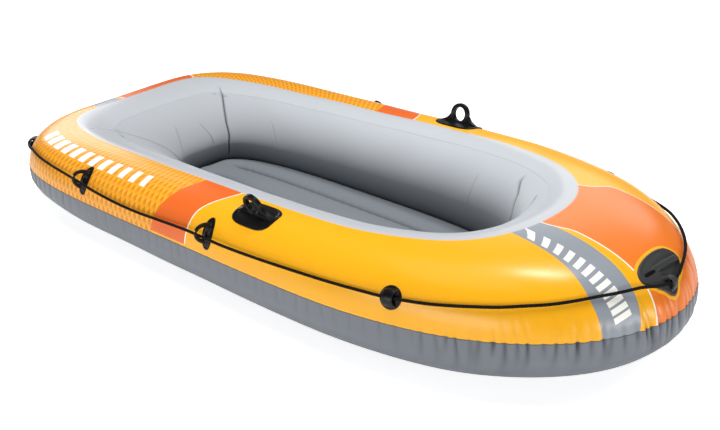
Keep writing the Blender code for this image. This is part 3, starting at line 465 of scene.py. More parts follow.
def crease_depth(arc, turn):
    """Depth of the inner wall's folds, and the strength of the shade painted along their line."""
    x, y = np.broadcast_arrays(arc * INNER_SHARE, np.radians(turn) * TUBE_RADIUS)
    total = np.zeros(x.shape)
    line = np.zeros(x.shape)
    for places, wide, deep, dark in CREASES:
        spots = np.array(
            [(a * hull.half * INNER_SHARE, math.radians(t) * TUBE_RADIUS) for a, t in places]
        )
        margin = 8 * wide
        low, high = spots.min(axis=0) - margin, spots.max(axis=0) + margin
        near = (x > low[0]) & (x < high[0]) & (y > low[1]) & (y < high[1])
        px, py = x[near], y[near]
        best = np.full(px.shape, 1e9)
        run = np.zeros(px.shape)
        lengths = np.linalg.norm(np.diff(spots, axis=0), axis=1)
        starts = np.concatenate([[0.0], np.cumsum(lengths)])
        for index, (start, end) in enumerate(zip(spots, spots[1:])):
            side = end - start
            share = ((px - start[0]) * side[0] + (py - start[1]) * side[1]) / side.dot(side)
            share = np.clip(share, 0, 1)
            away = np.hypot(px - start[0] - side[0] * share, py - start[1] - side[1] * share)
            closer = away < best
            best = np.where(closer, away, best)
            run = np.where(closer, (starts[index] + share * lengths[index]) / starts[-1], run)
        ends = ease(np.minimum(run, 1 - run) / CREASE_END)
        valley = np.exp(-((best / wide) ** 1.3)) - 0.12 * np.exp(-((best / (4.5 * wide)) ** 2))
        total[near] += deep * valley * ends
        # Painted shade along the fold's line, strongest at its middle
        crease_painted_shade = dark * ends * np.exp(-((best / (0.9 * wide)) ** 2))
        line[near] = np.maximum(line[near], crease_painted_shade)
    return total, line


SWELL_SEED = 5
SWELL_SIZE = 0.35
SWELL_HEIGHT = 0.0016


def swell(arc, turn):
    """Soft unevenness of an air-filled skin: a few long waves, the same on every run."""
    chance = np.random.default_rng(SWELL_SEED)
    total = np.zeros(np.broadcast(arc, turn).shape)
    length = 2 * hull.half
    for _ in range(9):
        waves = chance.integers(3, max(4, int(length / SWELL_SIZE)))
        across = chance.uniform(0.5, 3.2)
        phase = chance.uniform(0, 2 * math.pi, 2)
        total += np.sin(2 * math.pi * waves * arc / length + phase[0]) * np.cos(
            across * np.radians(turn) + phase[1]
        )
    return total * SWELL_HEIGHT / 4


def stations(count, crowded, width, pull):
    """Shares along the outline, pulled together about the crowded places."""
    ruler = np.linspace(-1, 1, 20001)
    density = np.ones(ruler.shape)
    for spot in crowded:
        away = np.minimum(np.abs(ruler - spot), 2 - np.abs(ruler - spot))
        density += pull * np.exp(-((away / width) ** 4))
    total = np.concatenate([[0.0], np.cumsum((density[1:] + density[:-1]) / 2)])
    return np.interp(np.linspace(0, total[-1], count, endpoint=False), total, ruler)


def surface_normals(grid):
    rows = np.roll(grid, -1, axis=0) - np.roll(grid, 1, axis=0)
    columns = np.gradient(grid, axis=1)
    normal = np.cross(rows, columns)
    length = np.linalg.norm(normal, axis=-1, keepdims=True)
    return normal / np.maximum(length, 1e-12)


flutes = Flutes(hull.half)
CALM_BELOW = 0.012
CALM_FADE = 0.05
FULL_SHADE_FLUTE = 0.006


def skin_grid(along, turns):
    """Points of the hull's skin with its relief, and the maps that its print and painted shade
    read.
    """
    arc = (along * hull.half)[:, None]
    turn = np.asarray(turns, dtype=float)[None, :]
    grid = hull.points(along[:, None], turn)
    steps = np.linalg.norm(np.diff(grid, axis=1), axis=-1)
    girth = np.concatenate([np.zeros((len(along), 1)), np.cumsum(steps, axis=1)], axis=1)
    seam = np.array([np.interp(SEAM_TURN, turns, line) for line in girth])[:, None]
    if turns[0] > SEAM_TURN:
        seam = np.zeros((len(along), 1))
    rise = girth - seam
    normal = surface_normals(grid)
    centre = hull.points(along, 0.0) / 2 + hull.points(along, 180.0) / 2
    outward = np.sign(np.einsum("ijk,ijk->ij", normal, grid - centre[:, None]))
    normal = normal * outward[..., None]
    fluted = flutes.depth(arc, rise) if turns[0] < 90 else np.zeros(grid.shape[:2])
    creased, line = crease_depth(arc, turn)
    sink = fluted + creased
    calm = 1.0
    if turns[0] < -60:
        calm = np.clip((grid[..., 2] - CALM_BELOW) / CALM_FADE, 0, 1)
    grid = grid + normal * ((swell(arc, turn) - sink) * calm)[..., None]
    grid[..., 2] = np.maximum(grid[..., 2], SHEET + GAP)
    wide = np.concatenate([arc, [[hull.half]]])
    place = np.stack(np.broadcast_arrays(wide, turn / 90), axis=-1)
    tall = np.concatenate([rise, rise[:1]])
    cloth = np.stack(np.broadcast_arrays(wide, tall), axis=-1)
    # The fold map: painted shade along the crease lines and in the flutes' valleys
    fold = np.stack([np.clip(line, 0, 1), np.clip(fluted / FULL_SHADE_FLUTE, 0, 1)], axis=-1)
    fold = np.concatenate([fold, fold[:1]])
    return grid, {"print": place, "cloth": cloth, "fold": fold}


def close_band(grid, maps):
    """Adds the hidden return from the band's last turn to its first, and repeats its maps."""
    last, first = grid[:, -1:], grid[:, :1]
    back = last + (first - last) * 0.5
    filled = {}
    for label, values in maps.items():
        ending = np.repeat(values[:, -1:], 2, axis=1)
        filled[label] = np.concatenate([values, ending], axis=1)
    return np.concatenate([grid, back], axis=1), filled


def skin_piece(name, along, turns):
    grid, maps = close_band(*skin_grid(along, turns))
    item = add_object(name, grid_mesh(name, grid, True, True, maps))
    item.data.set_sharp_from_angle(angle=math.radians(50))
    return item


# Node trees written in short calls
def paint(red, green, blue):
    """A colour as the photograph's eight-bit values, made linear."""
    values = [channel / 255 for channel in (red, green, blue)]
    linear = [v / 12.92 if v <= 0.04045 else ((v + 0.055) / 1.055) ** 2.4 for v in values]
    return (*linear, 1.0)


class Board:
    """A node tree and short calls that add nodes to it."""

    def __init__(self, tree):
        self.tree = tree

    def feed(self, socket, value):
        if isinstance(value, bpy.types.NodeSocket):
            self.tree.links.new(value, socket)
        elif value is not None:
            socket.default_value = value

    def node(self, kind, inputs=None, **settings):
        node = self.tree.nodes.new(kind)
        for key, value in settings.items():
            setattr(node, key, value)
        for key, value in (inputs or {}).items():
            self.feed(node.inputs[key], value)
        return node

    def math(self, operation, first, second=None, third=None, clamp=False):
        node = self.node("ShaderNodeMath", operation=operation, use_clamp=clamp)
        for socket, value in zip(node.inputs, (first, second, third)):
            self.feed(socket, value)
        return node.outputs[0]

    def times(self, first, second, clamp=False):
        return self.math("MULTIPLY", first, second, clamp=clamp)

    def plus(self, first, second, clamp=False):
        return self.math("ADD", first, second, clamp=clamp)

    def less(self, first, second, clamp=False):
        return self.math("SUBTRACT", first, second, clamp=clamp)

    def fit(self, value, low, high, to_low=0.0, to_high=1.0, ease="SMOOTHSTEP"):
        node = self.node("ShaderNodeMapRange", interpolation_type=ease)
        for socket, item in zip(node.inputs, (value, low, high, to_low, to_high)):
            self.feed(socket, item)
        return node.outputs[0]

    def ramp(self, value, low, high, to_low=0.0, to_high=1.0):
        return self.fit(value, low, high, to_low, to_high, "LINEAR")

    def mix(self, share, first, second, blend="MIX"):
        node = self.node("ShaderNodeMix", data_type="RGBA", blend_type=blend)
        self.feed(node.inputs[0], share)
        self.feed(node.inputs[6], first)
        self.feed(node.inputs[7], second)
        return node.outputs[2]

    def noise(self, place, scale, detail=3.0, rough=0.5):
        inputs = {"Vector": place, "Scale": scale, "Detail": detail, "Roughness": rough}
        return self.node("ShaderNodeTexNoise", inputs).outputs["Fac"]

    def place(self):
        return self.node("ShaderNodeTexCoord").outputs["Object"]

    def split(self, vector):
        return self.node("ShaderNodeSeparateXYZ", {"Vector": vector}).outputs

    def join(self, x=0.0, y=0.0, z=0.0):
        return self.node("ShaderNodeCombineXYZ", {"X": x, "Y": y, "Z": z}).outputs[0]

    def map(self, label):
        return self.node("ShaderNodeUVMap", uv_map=label).outputs[0]

    def group(self, tree, **inputs):
        node = self.node("ShaderNodeGroup", node_tree=tree)
        for key, value in inputs.items():
            self.feed(node.inputs[key.replace("_", " ")], value)
        return node.outputs


def socket_kind(label):
    return "NodeSocketColor" if label.endswith("Colour") else "NodeSocketFloat"


def new_group(name, inputs, outputs):
    """A shader group with named sockets; returns its board, its inputs and its output's."""
    tree = bpy.data.node_groups.new(name, "ShaderNodeTree")
    for label, value in inputs.items():
        socket = tree.interface.new_socket(label, in_out="INPUT", socket_type=socket_kind(label))
        socket.default_value = value
    for label in outputs:
        tree.interface.new_socket(label, in_out="OUTPUT", socket_type=socket_kind(label))
    board = Board(tree)
    return board, board.node("NodeGroupInput").outputs, board.node("NodeGroupOutput").inputs


def make_print_edge():
    """Where a printed area starts: a line across the tube that may lean and curl at the top."""
    board, given, result = new_group(
        "print_edge",
        {
            "Around": 0.0, "Up": 0.0, "Place": 0.0, "Lean": 0.0, "Curl": 0.0,
            "Curl Start": 0.82, "Curl End": 1.0, "Line Width": 0.0045,
        },
        ("Past", "Line"),
    )
    curl = board.fit(given["Up"], given["Curl Start"], given["Curl End"])
    edge = board.plus(given["Place"], board.times(given["Lean"], given["Up"]))
    edge = board.plus(edge, board.times(given["Curl"], curl))
    away = board.less(given["Around"], edge)
    board.feed(result["Past"], board.ramp(away, -0.0005, 0.0005))
    half = board.times(given["Line Width"], 0.5)
    off = board.less(half, board.math("ABSOLUTE", board.plus(away, half)))
    board.feed(result["Line"], board.ramp(off, -0.0004, 0.0004))
    return board.tree


def make_lattice():
    """A common diamond lattice, each diamond shaded from a light edge to a dark corner."""
    board, given, result = new_group(
        "diamond_lattice",
        {"Around": 0.0, "Rise": 0.0, "Cell Width": 0.0245, "Cell Height": 0.0520},
        ("Shade", "Rim"),
    )
    x = board.math("DIVIDE", given["Around"], given["Cell Width"])
    y = board.math("DIVIDE", given["Rise"], given["Cell Height"])
    first = board.math("FRACT", board.plus(x, y))
    second = board.math("FRACT", board.less(x, y))
    wedge = board.fit(board.less(first, board.times(second, 0.55)), -0.25, 0.62)
    board.feed(result["Shade"], board.times(wedge, board.fit(second, 0.02, 0.12)))
    sides = [board.math("PINGPONG", share, 0.5) for share in (first, second)]
    board.feed(result["Rim"], board.fit(board.math("MINIMUM", *sides), 0.09, 0.03))
    return board.tree


def make_bars():
    """A run of plain slanted bars, each a little narrower than the last."""
    board, given, result = new_group(
        "slanted_bars",
        {
            "Around": 0.0, "Up": 0.0, "Start": 0.0, "End": 1.0,
            "Low": 0.0, "High": 1.0, "Cell": 0.05, "Slant": 0.02,
        },
        ("Mask",),
    )
    height = board.less(given["High"], given["Low"])
    level = board.math("DIVIDE", board.less(given["Up"], given["Low"]), height)
    lean = board.times(level, given["Slant"])
    run = board.less(board.less(given["Around"], lean), given["Start"])
    share = board.math("DIVIDE", run, board.less(given["End"], given["Start"]))
    cell = board.math("FRACT", board.math("DIVIDE", run, given["Cell"]))
    fill = board.ramp(share, 0.0, 1.0, 0.74, 0.46)
    mask = board.ramp(board.less(fill, cell), 0.0, 0.02)
    for value, soft in ((share, 0.0005), (level, 0.02)):
        within = board.times(board.ramp(value, 0.0, soft), board.ramp(value, 1.0, 1.0 - soft))
        mask = board.times(mask, within)
    board.feed(result["Mask"], mask)
    return board.tree


def make_vinyl_skin():
    """Welded PVC: slight mottling, handling haze, fine grain and long soft ripples, and painted
    shade where Fold darkens the colour.
    """
    board, given, result = new_group(
        "vinyl_skin",
        {
            "Colour": (0.5, 0.5, 0.5, 1.0), "Mottle": 0.05, "Roughness": 0.32, "Haze": 0.10,
            "Grain": 0.3, "Ripple": 1.0, "Fold": 0.0,
        },
        ("Colour", "Roughness", "Height"),
    )
    place = board.place()
    mottle = given["Mottle"]
    cloud = board.noise(place, 4.5, 4.0)
    patch = board.noise(place, 38.0, 3.0)
    tone = board.less(board.plus(cloud, board.times(patch, 0.35)), 0.67)
    dark = board.mix(1.0, given["Colour"], (0.72, 0.72, 0.72, 1.0), "MULTIPLY")
    light = board.mix(1.0, given["Colour"], (0.06, 0.06, 0.06, 1.0), "ADD")
    share = board.plus(0.5, board.times(tone, board.times(mottle, 12.0)), clamp=True)
    toned = board.mix(share, dark, light)
    near = board.mix(board.times(mottle, 4.0, clamp=True), given["Colour"], toned)
    # Fold darkens the colour to about a third: painted shade in creases, pleats and floor channels
    fold_painted_shade = board.mix(1.0, near, (0.34, 0.33, 0.33, 1.0), "MULTIPLY")
    board.feed(result["Colour"], board.mix(given["Fold"], near, fold_painted_shade))
    haze = board.times(board.noise(place, 6.0, 2.0, 0.4), given["Haze"])
    board.feed(result["Roughness"], board.plus(given["Roughness"], haze, clamp=True))
    ripple = board.times(board.noise(place, 16.0, 2.0, 0.4), given["Ripple"])
    fine = board.times(board.noise(place, 900.0, 2.0), given["Grain"])
    board.feed(result["Height"], board.plus(ripple, board.times(fine, 0.06)))
    return board.tree


def make_moulded_rubber():
    """Moulded black plastic: fine grain and paler worn spots."""
    board, given, result = new_group(
        "moulded_rubber",
        {
            "Colour": (0.02, 0.02, 0.022, 1.0), "Worn Colour": (0.05, 0.05, 0.052, 1.0),
            "Wear": 0.4, "Roughness": 0.38, "Grain Scale": 1400.0,
        },
        ("Colour", "Roughness", "Height"),
    )
    place = board.place()
    scuff = board.fit(board.noise(place, 60.0, 5.0, 0.7), 0.52, 0.80)
    worn = board.times(scuff, given["Wear"])
    board.feed(result["Colour"], board.mix(worn, given["Colour"], given["Worn Colour"]))
    rough = board.times(board.noise(place, 25.0, 3.0), 0.22)
    board.feed(result["Roughness"], board.plus(given["Roughness"], rough))
    board.feed(result["Height"], board.noise(place, given["Grain Scale"], 2.0))
    return board.tree


PRINT_EDGE = make_print_edge()
LATTICE = make_lattice()
BARS = make_bars()
VINYL = make_vinyl_skin()
RUBBER = make_moulded_rubber()

YELLOW = paint(253, 180, 26)
LATTICE_BASE = paint(255, 180, 38)
LATTICE_LIGHT = paint(255, 194, 76)
LATTICE_DARK = paint(228, 132, 18)
ORANGE = paint(236, 108, 38)
BOW_ORANGE = paint(241, 126, 42)
WHITE_PRINT = paint(250, 248, 240)
STRIPE_GREY = paint(146, 152, 160)
COLLAR_GREY = paint(192, 196, 201)
INNER_GREY = paint(189, 193, 198)
FLOOR_GREY = paint(128, 134, 140)
BELLY_GREY = paint(117, 122, 129)
RUBBER_BLACK = (0.0055, 0.0055, 0.006, 1.0)


def new_material(name):
    material = bpy.data.materials.new(name)
    material.use_nodes = True
    shader = material.node_tree.nodes["Principled BSDF"]
    return material, Board(material.node_tree), shader


def add_bump(board, shader, height, strength, distance):
    inputs = {"Strength": strength, "Distance": distance, "Height": height}
    board.feed(shader.inputs["Normal"], board.node("ShaderNodeBump", inputs).outputs[0])


def vinyl(
    name, colour, *, mottle=0.05, rough=0.32, haze=0.1, ripple=1.0, coat=0.25, level=0.45,
    folded=False, pleat_shade=0.5, foot=None,
):
    """colour is a colour or a function that draws it on the board. Folded reads the fold map, whose
    darkening is painted shade, with pleat_shade as the share of its flutes, and foot is a height
    range below which the colour is darkened as painted shade."""
    material, board, shader = new_material(name)
    value = colour(board) if callable(colour) else colour
    # Painted shade: the colour gets darker towards the bottom of the foot range
    if foot:
        height = board.split(board.place())[2]
        foot_painted_shade = board.mix(1.0, value, (0.30, 0.30, 0.31, 1.0), "MULTIPLY")
        value = board.mix(board.fit(height, *foot), foot_painted_shade, value)
    # The fold map's crease lines and flutes darken the colour as painted shade
    fold = 0.0
    if folded:
        crease, flute = board.split(board.map("fold"))[:2]
        fold = board.math("MAXIMUM", crease, board.times(flute, pleat_shade, clamp=True))
    skin = board.group(
        VINYL, Colour=value, Mottle=mottle, Roughness=rough, Haze=haze, Ripple=ripple, Fold=fold
    )
    board.feed(shader.inputs["Base Color"], skin["Colour"])
    board.feed(shader.inputs["Roughness"], skin["Roughness"])
    add_bump(board, shader, skin["Height"], 0.5, 0.001)
    shader.inputs["Coat Weight"].default_value = coat
    shader.inputs["Coat Roughness"].default_value = 0.12
    shader.inputs["Coat IOR"].default_value = 1.45
    shader.inputs["Specular IOR Level"].default_value = level
    return material


def rubber(name, colour=RUBBER_BLACK, wear=0.14, rough=0.24, grain=1400.0):
    material, board, shader = new_material(name)
    skin = board.group(RUBBER, Colour=colour, Wear=wear, Roughness=rough, Grain_Scale=grain)
    board.feed(shader.inputs["Base Color"], skin["Colour"])
    board.feed(shader.inputs["Roughness"], skin["Roughness"])
    add_bump(board, shader, skin["Height"], 0.25, 0.0002)
    shader.inputs["Specular IOR Level"].default_value = 0.28
    return material


# The side's print. Each edge is its place, lean, and the curl at its top with where that starts
# and ends; the first lot is by metres from the bow on both sides, the second by metres from the
# bow's middle, far side positive.
EDGE_INPUTS = ("Place", "Lean", "Curl", "Curl_Start", "Curl_End")
SIDE_EDGES = {
    "band_aft": (1.712, -0.05),
    "band_fore": (1.552, -0.035, -0.055, 0.5, 1.1),
    "stern_stripe": (2.815,),
    "stern_stripe_end": (2.932,),
    "stern_near": (2.950,),
    "stern_far": (2.691,),
}
BOW_EDGES = {
    "stripe_aft": (-0.232, 0.0, 0.025, 0.3, 0.85),
    "stripe_fore": (-0.137, 0.082),
    "bow_near": (-0.080, 0.05, -0.035, 0.88, 1.0),
    "bow_far": (0.216, 0.21, -0.09, 0.82, 1.0),
}
SIDE_BARS = {
    "Start": -2.50, "End": -1.78, "Low": 0.59, "High": 0.79, "Cell": 0.060, "Slant": -0.022,
}
BOW_BARS = {
    "Start": 0.17, "End": 0.9776, "Low": -0.195, "High": -0.143, "Cell": 0.0673, "Slant": 0.050,
}
HEM = (0.103, 0.107)
COLLAR = (0.985, 0.989)


def side_print(board):
    """The side skin's print, read from its map of arc (m) and turn (quarters)."""
    arc, up = board.split(board.map("print"))[:2]
    reach = board.math("ABSOLUTE", arc)
    near = board.ramp(arc, -0.0001, 0.0001, 1.0, 0.0)
    far = board.less(1.0, near)
    above_hem = board.ramp(up, *HEM)
    edges = {}
    for around, places in ((reach, SIDE_EDGES), (arc, BOW_EDGES)):
        for label, values in places.items():
            inputs = dict(zip(EDGE_INPUTS, values))
            edges[label] = board.group(PRINT_EDGE, Around=around, Up=up, **inputs)

    def area(start, end):
        return board.less(edges[start]["Past"], edges[end]["Past"], clamp=True)

    def at_stern(output, clamp=False):
        """An output of the stern's edge, which lies elsewhere on each side."""
        sides = ((edges["stern_near"], near), (edges["stern_far"], far))
        return board.plus(*(board.times(edge[output], side) for edge, side in sides), clamp=clamp)

    cells = board.group(LATTICE, Around=arc, Rise=board.split(board.map("cloth"))[1])
    woven = board.mix(cells["Shade"], LATTICE_BASE, LATTICE_DARK)
    woven = board.mix(board.times(cells["Rim"], 0.6), woven, LATTICE_LIGHT)
    bow_lines = board.math("MAXIMUM", edges["bow_near"]["Line"], edges["bow_far"]["Line"])
    layers = (
        (edges["band_aft"]["Past"], woven),
        (board.times(area("band_fore", "band_aft"), above_hem), ORANGE),
        (board.times(edges["band_fore"]["Line"], above_hem), WHITE_PRINT),
        (area("stripe_aft", "stripe_fore"), STRIPE_GREY),
        (area("bow_near", "bow_far"), BOW_ORANGE),
        (bow_lines, WHITE_PRINT),
        (board.times(area("stern_stripe", "stern_stripe_end"), near), STRIPE_GREY),
        (board.times(area("stern_stripe_end", "stern_near"), near), YELLOW),
        (board.times(at_stern("Past", clamp=True), above_hem), ORANGE),
        (board.times(at_stern("Line"), above_hem), WHITE_PRINT),
        (board.group(BARS, Around=arc, Up=up, **SIDE_BARS)["Mask"], WHITE_PRINT),
        (board.group(BARS, Around=up, Up=arc, **BOW_BARS)["Mask"], WHITE_PRINT),
        (board.ramp(up, *COLLAR), COLLAR_GREY),
    )
    colour = YELLOW
    for mask, over in layers:
        colour = board.mix(mask, colour, over)
    return colour


def rope_material():
    """Braided line: strands that cross, read from its map of run and share round it."""
    material, board, shader = new_material("braided_rope")
    run, share = board.split(board.map("strand"))[:2]
    turns = board.times(share, 2 * BRAID_STRANDS * math.pi)
    along = board.times(run, 2 * math.pi / BRAID_PITCH)
    right = board.math("SINE", board.plus(turns, along))
    left = board.math("SINE", board.less(turns, along))
    strand = board.math("MAXIMUM", right, left)
    fibre = board.noise(board.join(board.times(run, 900.0), board.times(share, 60.0)), 1.0)
    # Painted light and shade: the strands' crowns lighter and the grooves between them darker
    strand_painted_light = board.fit(strand, -0.2, 1.0)
    colour = board.mix(strand_painted_light, (0.002, 0.002, 0.002, 1), (0.011, 0.010, 0.010, 1))
    colour = board.mix(board.times(fibre, 0.25), colour, (0.025, 0.023, 0.022, 1))
    board.feed(shader.inputs["Base Color"], colour)
    shader.inputs["Roughness"].default_value = 0.55
    shader.inputs["Specular IOR Level"].default_value = 0.06
    add_bump(board, shader, board.plus(strand, board.times(fibre, 0.4)), 0.5, 0.0003)
    return material


SIDE_VINYL = vinyl(
    "printed_vinyl", side_print, mottle=0.02, rough=0.25, haze=0.08, ripple=0.6, coat=0.05,
    level=0.40, folded=True,
)
# The belly's flutes carry their painted shade at full strength
BELLY_VINYL = vinyl(
    "belly_vinyl", BELLY_GREY, mottle=0.04, coat=0.05, level=0.35, folded=True, pleat_shade=1.0
)
# The inner wall is darkened below 0.30 m as painted shade at its foot
INNER_VINYL = vinyl(
    "inner_vinyl", INNER_GREY, mottle=0.04, rough=0.42, coat=0.0, level=0.30, folded=True,
    foot=(0.05, 0.30),
)
FLOOR_VINYL = vinyl("floor_vinyl", FLOOR_GREY, rough=0.42, coat=0.0, level=0.35, folded=True)
SEAM_VINYL = vinyl("seam_vinyl", paint(84, 88, 96), rough=0.42, coat=0.0, level=0.3)
WELD_VINYL = vinyl("weld_vinyl", paint(188, 192, 200), mottle=0.04, rough=0.40, coat=0.1)
BORDER_VINYL = vinyl("border_vinyl", YELLOW, mottle=0.03, rough=0.36, coat=0.1)
FLAP_VINYL = vinyl("flap_vinyl", paint(206, 212, 216), mottle=0.03, rough=0.22, coat=0.3)
BLACK_RUBBER = rubber("black_rubber")
PATCH_RUBBER = rubber("patch_rubber", (0.044, 0.045, 0.046, 1.0), rough=0.32)
# A near-black matt pad stands in for the slot's hollow: painted shade
SLOT_SHADE_BLACK = rubber("slot_shade", (0.0015, 0.0015, 0.0015, 1.0), wear=0.0, rough=0.8)
VALVE_PLASTIC = rubber("valve_plastic", (0.030, 0.030, 0.033, 1.0), rough=0.32)
CAP_PLASTIC = rubber("cap_plastic", (0.012, 0.012, 0.013, 1.0), wear=0.25, rough=0.30)
KNOT_CORD = rubber("knot_cord", (0.007, 0.007, 0.007, 1.0), wear=0.3, rough=0.55, grain=420.0)
ROPE = rope_material()

# Pieces
rope, rope_path, rope_length = make_rope()
dress(rope, ROPE)
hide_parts("grab_line")

SIDE_TURNS = np.concatenate([[SEAM_TURN], np.linspace(8.5, 90, 44), np.linspace(92, WELD_TURN, 10)])
BELLY_TURNS = np.concatenate([np.linspace(-90, -40, 12)[:-1], np.linspace(-40, SEAM_TURN, 30)])
INNER_TURNS = np.concatenate([np.linspace(WELD_TURN, 210, 48)[:-1], np.linspace(210, 270, 10)])
OUTER_BENDS = ((0.0, -0.86, 0.86), 0.15, 1.6)
INNER_BENDS = ((0.0, -0.90, 0.90), 0.12, 3.0)
side = skin_piece("side_skin", stations(1700, *OUTER_BENDS), SIDE_TURNS)
belly = skin_piece("belly_skin", stations(2200, *OUTER_BENDS), BELLY_TURNS)
inner = skin_piece("inner_skin", stations(1650, *INNER_BENDS), INNER_TURNS)
dress(side, SIDE_VINYL)
dress(belly, BELLY_VINYL)
dress(inner, INNER_VINYL)
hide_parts("outer_chamber")
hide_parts("outer_chamber")
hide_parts("inner_chamber")


# Closed bodies from rings
def shell(rings):
    """A closed body through rings of points, as an edit mesh."""
    edit = bmesh.new()
    loops = [[edit.verts.new(point) for point in ring] for ring in rings]
    for lower, upper in zip(loops, loops[1:]):
        count = len(lower)
        for index in range(count):
            after = (index + 1) % count
            edit.faces.new((lower[index], lower[after], upper[after], upper[index]))
    edit.faces.new(loops[0][::-1])
    edit.faces.new(loops[-1])
    bmesh.ops.recalc_face_normals(edit, faces=edit.faces)
    return edit


def join_shells(name, shells):
    joined = bmesh.new()
    for part in shells:
        mesh = bpy.data.meshes.new("part")
        part.to_mesh(mesh)
        part.free()
        joined.from_mesh(mesh)
        bpy.data.meshes.remove(mesh)
    mesh = bpy.data.meshes.new(name)
    joined.to_mesh(mesh)
    joined.free()
    return add_object(name, mesh)


def settle(item):
    """Replaces a piece's mesh by what its modifiers make of it."""
    graph = bpy.context.evaluated_depsgraph_get()
    mesh = bpy.data.meshes.new_from_object(item.evaluated_get(graph))
    item.modifiers.clear()
    item.data = mesh
    return item


def moulded(name, shells, voxel, rounds):
    """Overlapping bodies moulded into one, with soft fillets where they meet."""
    item = join_shells(name, shells)
    unite = item.modifiers.new("unite", "REMESH")
    unite.mode = "VOXEL"
    unite.voxel_size = voxel
    unite.use_smooth_shade = True
    relax = item.modifiers.new("relax", "SMOOTH")
    relax.factor = 0.5
    relax.iterations = rounds
    return smooth(settle(item))


class Ground:
    """The side skin's faces, which the fittings lie on."""

    def __init__(self, item):
        edit = bmesh.new()
        edit.from_mesh(item.data)
        self.tree = BVHTree.FromBMesh(edit)
        edit.free()

    def spot(self, place, across, up, lift):
        origin, side_way, rise, out = place
        start = origin + side_way * across + rise * up + out * 0.08
        found, normal, _index, _distance = self.tree.ray_cast(start, -out, 0.2)
        return found + normal.lerp(out, 0.5).normalized() * lift

    def pad(self, place, outline, profile, sink=0.003):
        """A pad on the skin: profile is (share of the outline, lift) from its edge inwards."""
        rings = [[self.spot(place, u, v, -sink) for u, v in outline]]
        for share, lift in profile:
            rings.append([self.spot(place, u * share, v * share, lift) for u, v in outline])
        return shell(rings)

    def dome(self, place, middle, reach, height, sides=40):
        rings = []
        for share in (1.0, 0.97, 0.9, 0.78, 0.6, 0.4, 0.2, 0.04):
            lift = height * math.sqrt(1 - share**2) if share < 1 else -0.002
            ring = []
            for u, v in oval(reach[0] * share, reach[1] * share, 2.0, sides):
                ring.append(self.spot(place, middle[0] + u, middle[1] + v, lift))
            rings.append(ring)
        return shell(rings)


def oval(half_width, half_height, power, sides):
    angles = [2 * math.pi * index / sides for index in range(sides)]
    across = [float(signed_power(math.cos(a), 2 / power)) for a in angles]
    up = [float(signed_power(math.sin(a), 2 / power)) for a in angles]
    return [(half_width * u, half_height * v) for u, v in zip(across, up)]


def rounded(corners, steps):
    """A smooth closed outline through given corners."""
    points = []
    count = len(corners)
    for index in range(count):
        four = [Vector(corners[(index + shift) % count]) for shift in (-1, 0, 1, 2)]
        points += [tuple(curve_spot(*four, step / steps)) for step in range(steps)]
    return points


def widened(outline, reach):
    """The outline, moved outwards by the same reach all round."""
    points = [Vector(point) for point in outline]
    area = sum(a.x * b.y - b.x * a.y for a, b in zip(points, points[1:] + points[:1]))
    turn = 1 if area > 0 else -1
    moved = []
    for index, point in enumerate(points):
        way = (points[(index + 1) % len(points)] - points[index - 1]).normalized()
        moved.append(tuple(point + Vector((way.y, -way.x)) * (reach * turn)))
    return moved


def arch(place, half_root, height, wide, thick, turns=(0, 180), sides=18, steps=40):
    """A band that stands on the skin, square to the rope: wide and thick at (root, top)."""
    base, across, up, out = place
    spots, shares = [], []
    for turn in np.linspace(*turns, steps + 1):
        angle = math.radians(turn)
        rise = height * max(math.sin(angle), 0.0) ** 0.8
        spots.append(base - up * (half_root * math.cos(angle)) + out * (rise - 0.002))
        shares.append(math.sin(angle))
    rings = []
    for index, (spot, share) in enumerate(zip(spots, shares)):
        way = (spots[min(index + 1, steps)] - spots[max(index - 1, 0)]).normalized()
        side_way = across.cross(way).normalized()
        half_wide = wide[0] + (wide[1] - wide[0]) * share
        half_thick = thick[0] + (thick[1] - thick[0]) * share
        rim = oval(half_wide, half_thick, 2.4, sides)
        rings.append([spot + across * u + side_way * v for u, v in rim])
    return shell(rings)


def ball(centre, reach):
    edit = bmesh.new()
    bmesh.ops.create_uvsphere(edit, u_segments=20, v_segments=12, radius=reach)
    bmesh.ops.translate(edit, verts=edit.verts, vec=centre)
    return edit


def plate(place, outline, half):
    """A plate that stands on the skin along the hull, cut to an outline of (across, height)."""
    base, across, up, out = place
    rings = [[base + across * x + out * z + up * y for x, z in outline] for y in (-half, half)]
    return shell(rings)


def ring_band(place, centre, reach, half_wide, half_thick, sides=56, around=16):
    """A round rim about an eye in a standing plate."""
    base, across, up, out = place
    edit = bmesh.new()
    loops = []
    for index in range(sides):
        angle = 2 * math.pi * index / sides
        way = across * math.cos(angle) + out * math.sin(angle)
        middle = base + out * centre + way * reach
        rim = oval(half_thick, half_wide, 2.6, around)
        loops.append([edit.verts.new(middle + way * u + up * v) for u, v in rim])
    for index in range(sides):
        lower, upper = loops[index], loops[(index + 1) % sides]
        for spot in range(around):
            after = (spot + 1) % around
            edit.faces.new((lower[spot], lower[after], upper[after], upper[spot]))
    bmesh.ops.recalc_face_normals(edit, faces=edit.faces)
    return edit


ground = Ground(side)
PAD_PROFILE = (
    (1.0, 0.0010), (0.985, 0.0026), (0.955, 0.0036), (0.92, 0.0038), (0.885, 0.0033),
    (0.85, 0.0025), (0.78, 0.0025), (0.6, 0.0030), (0.4, 0.0036), (0.2, 0.0040), (0.03, 0.0041),
)
TALL_GUIDES = {"rope_guide_2": (-0.4834, 30), "rope_guide_3": (-0.6933, 33)}
LOW_GUIDES = {
    "rope_guide_1": (-0.2533, 29),
    "rope_guide_4": (-0.868, 20),
    "rope_guide_5": (0.2533, 27),
    "rope_guide_6": (0.4834, 24),
    "rope_guide_7": (0.6933, 24),
    "rope_guide_8": (0.8252, 26),
}


PRONG_ROOT, PRONG_HEIGHT, PRONG_TIP = 0.025, 0.047, 0.0058
PRONG_WIDE = (0.0070, 0.0052)


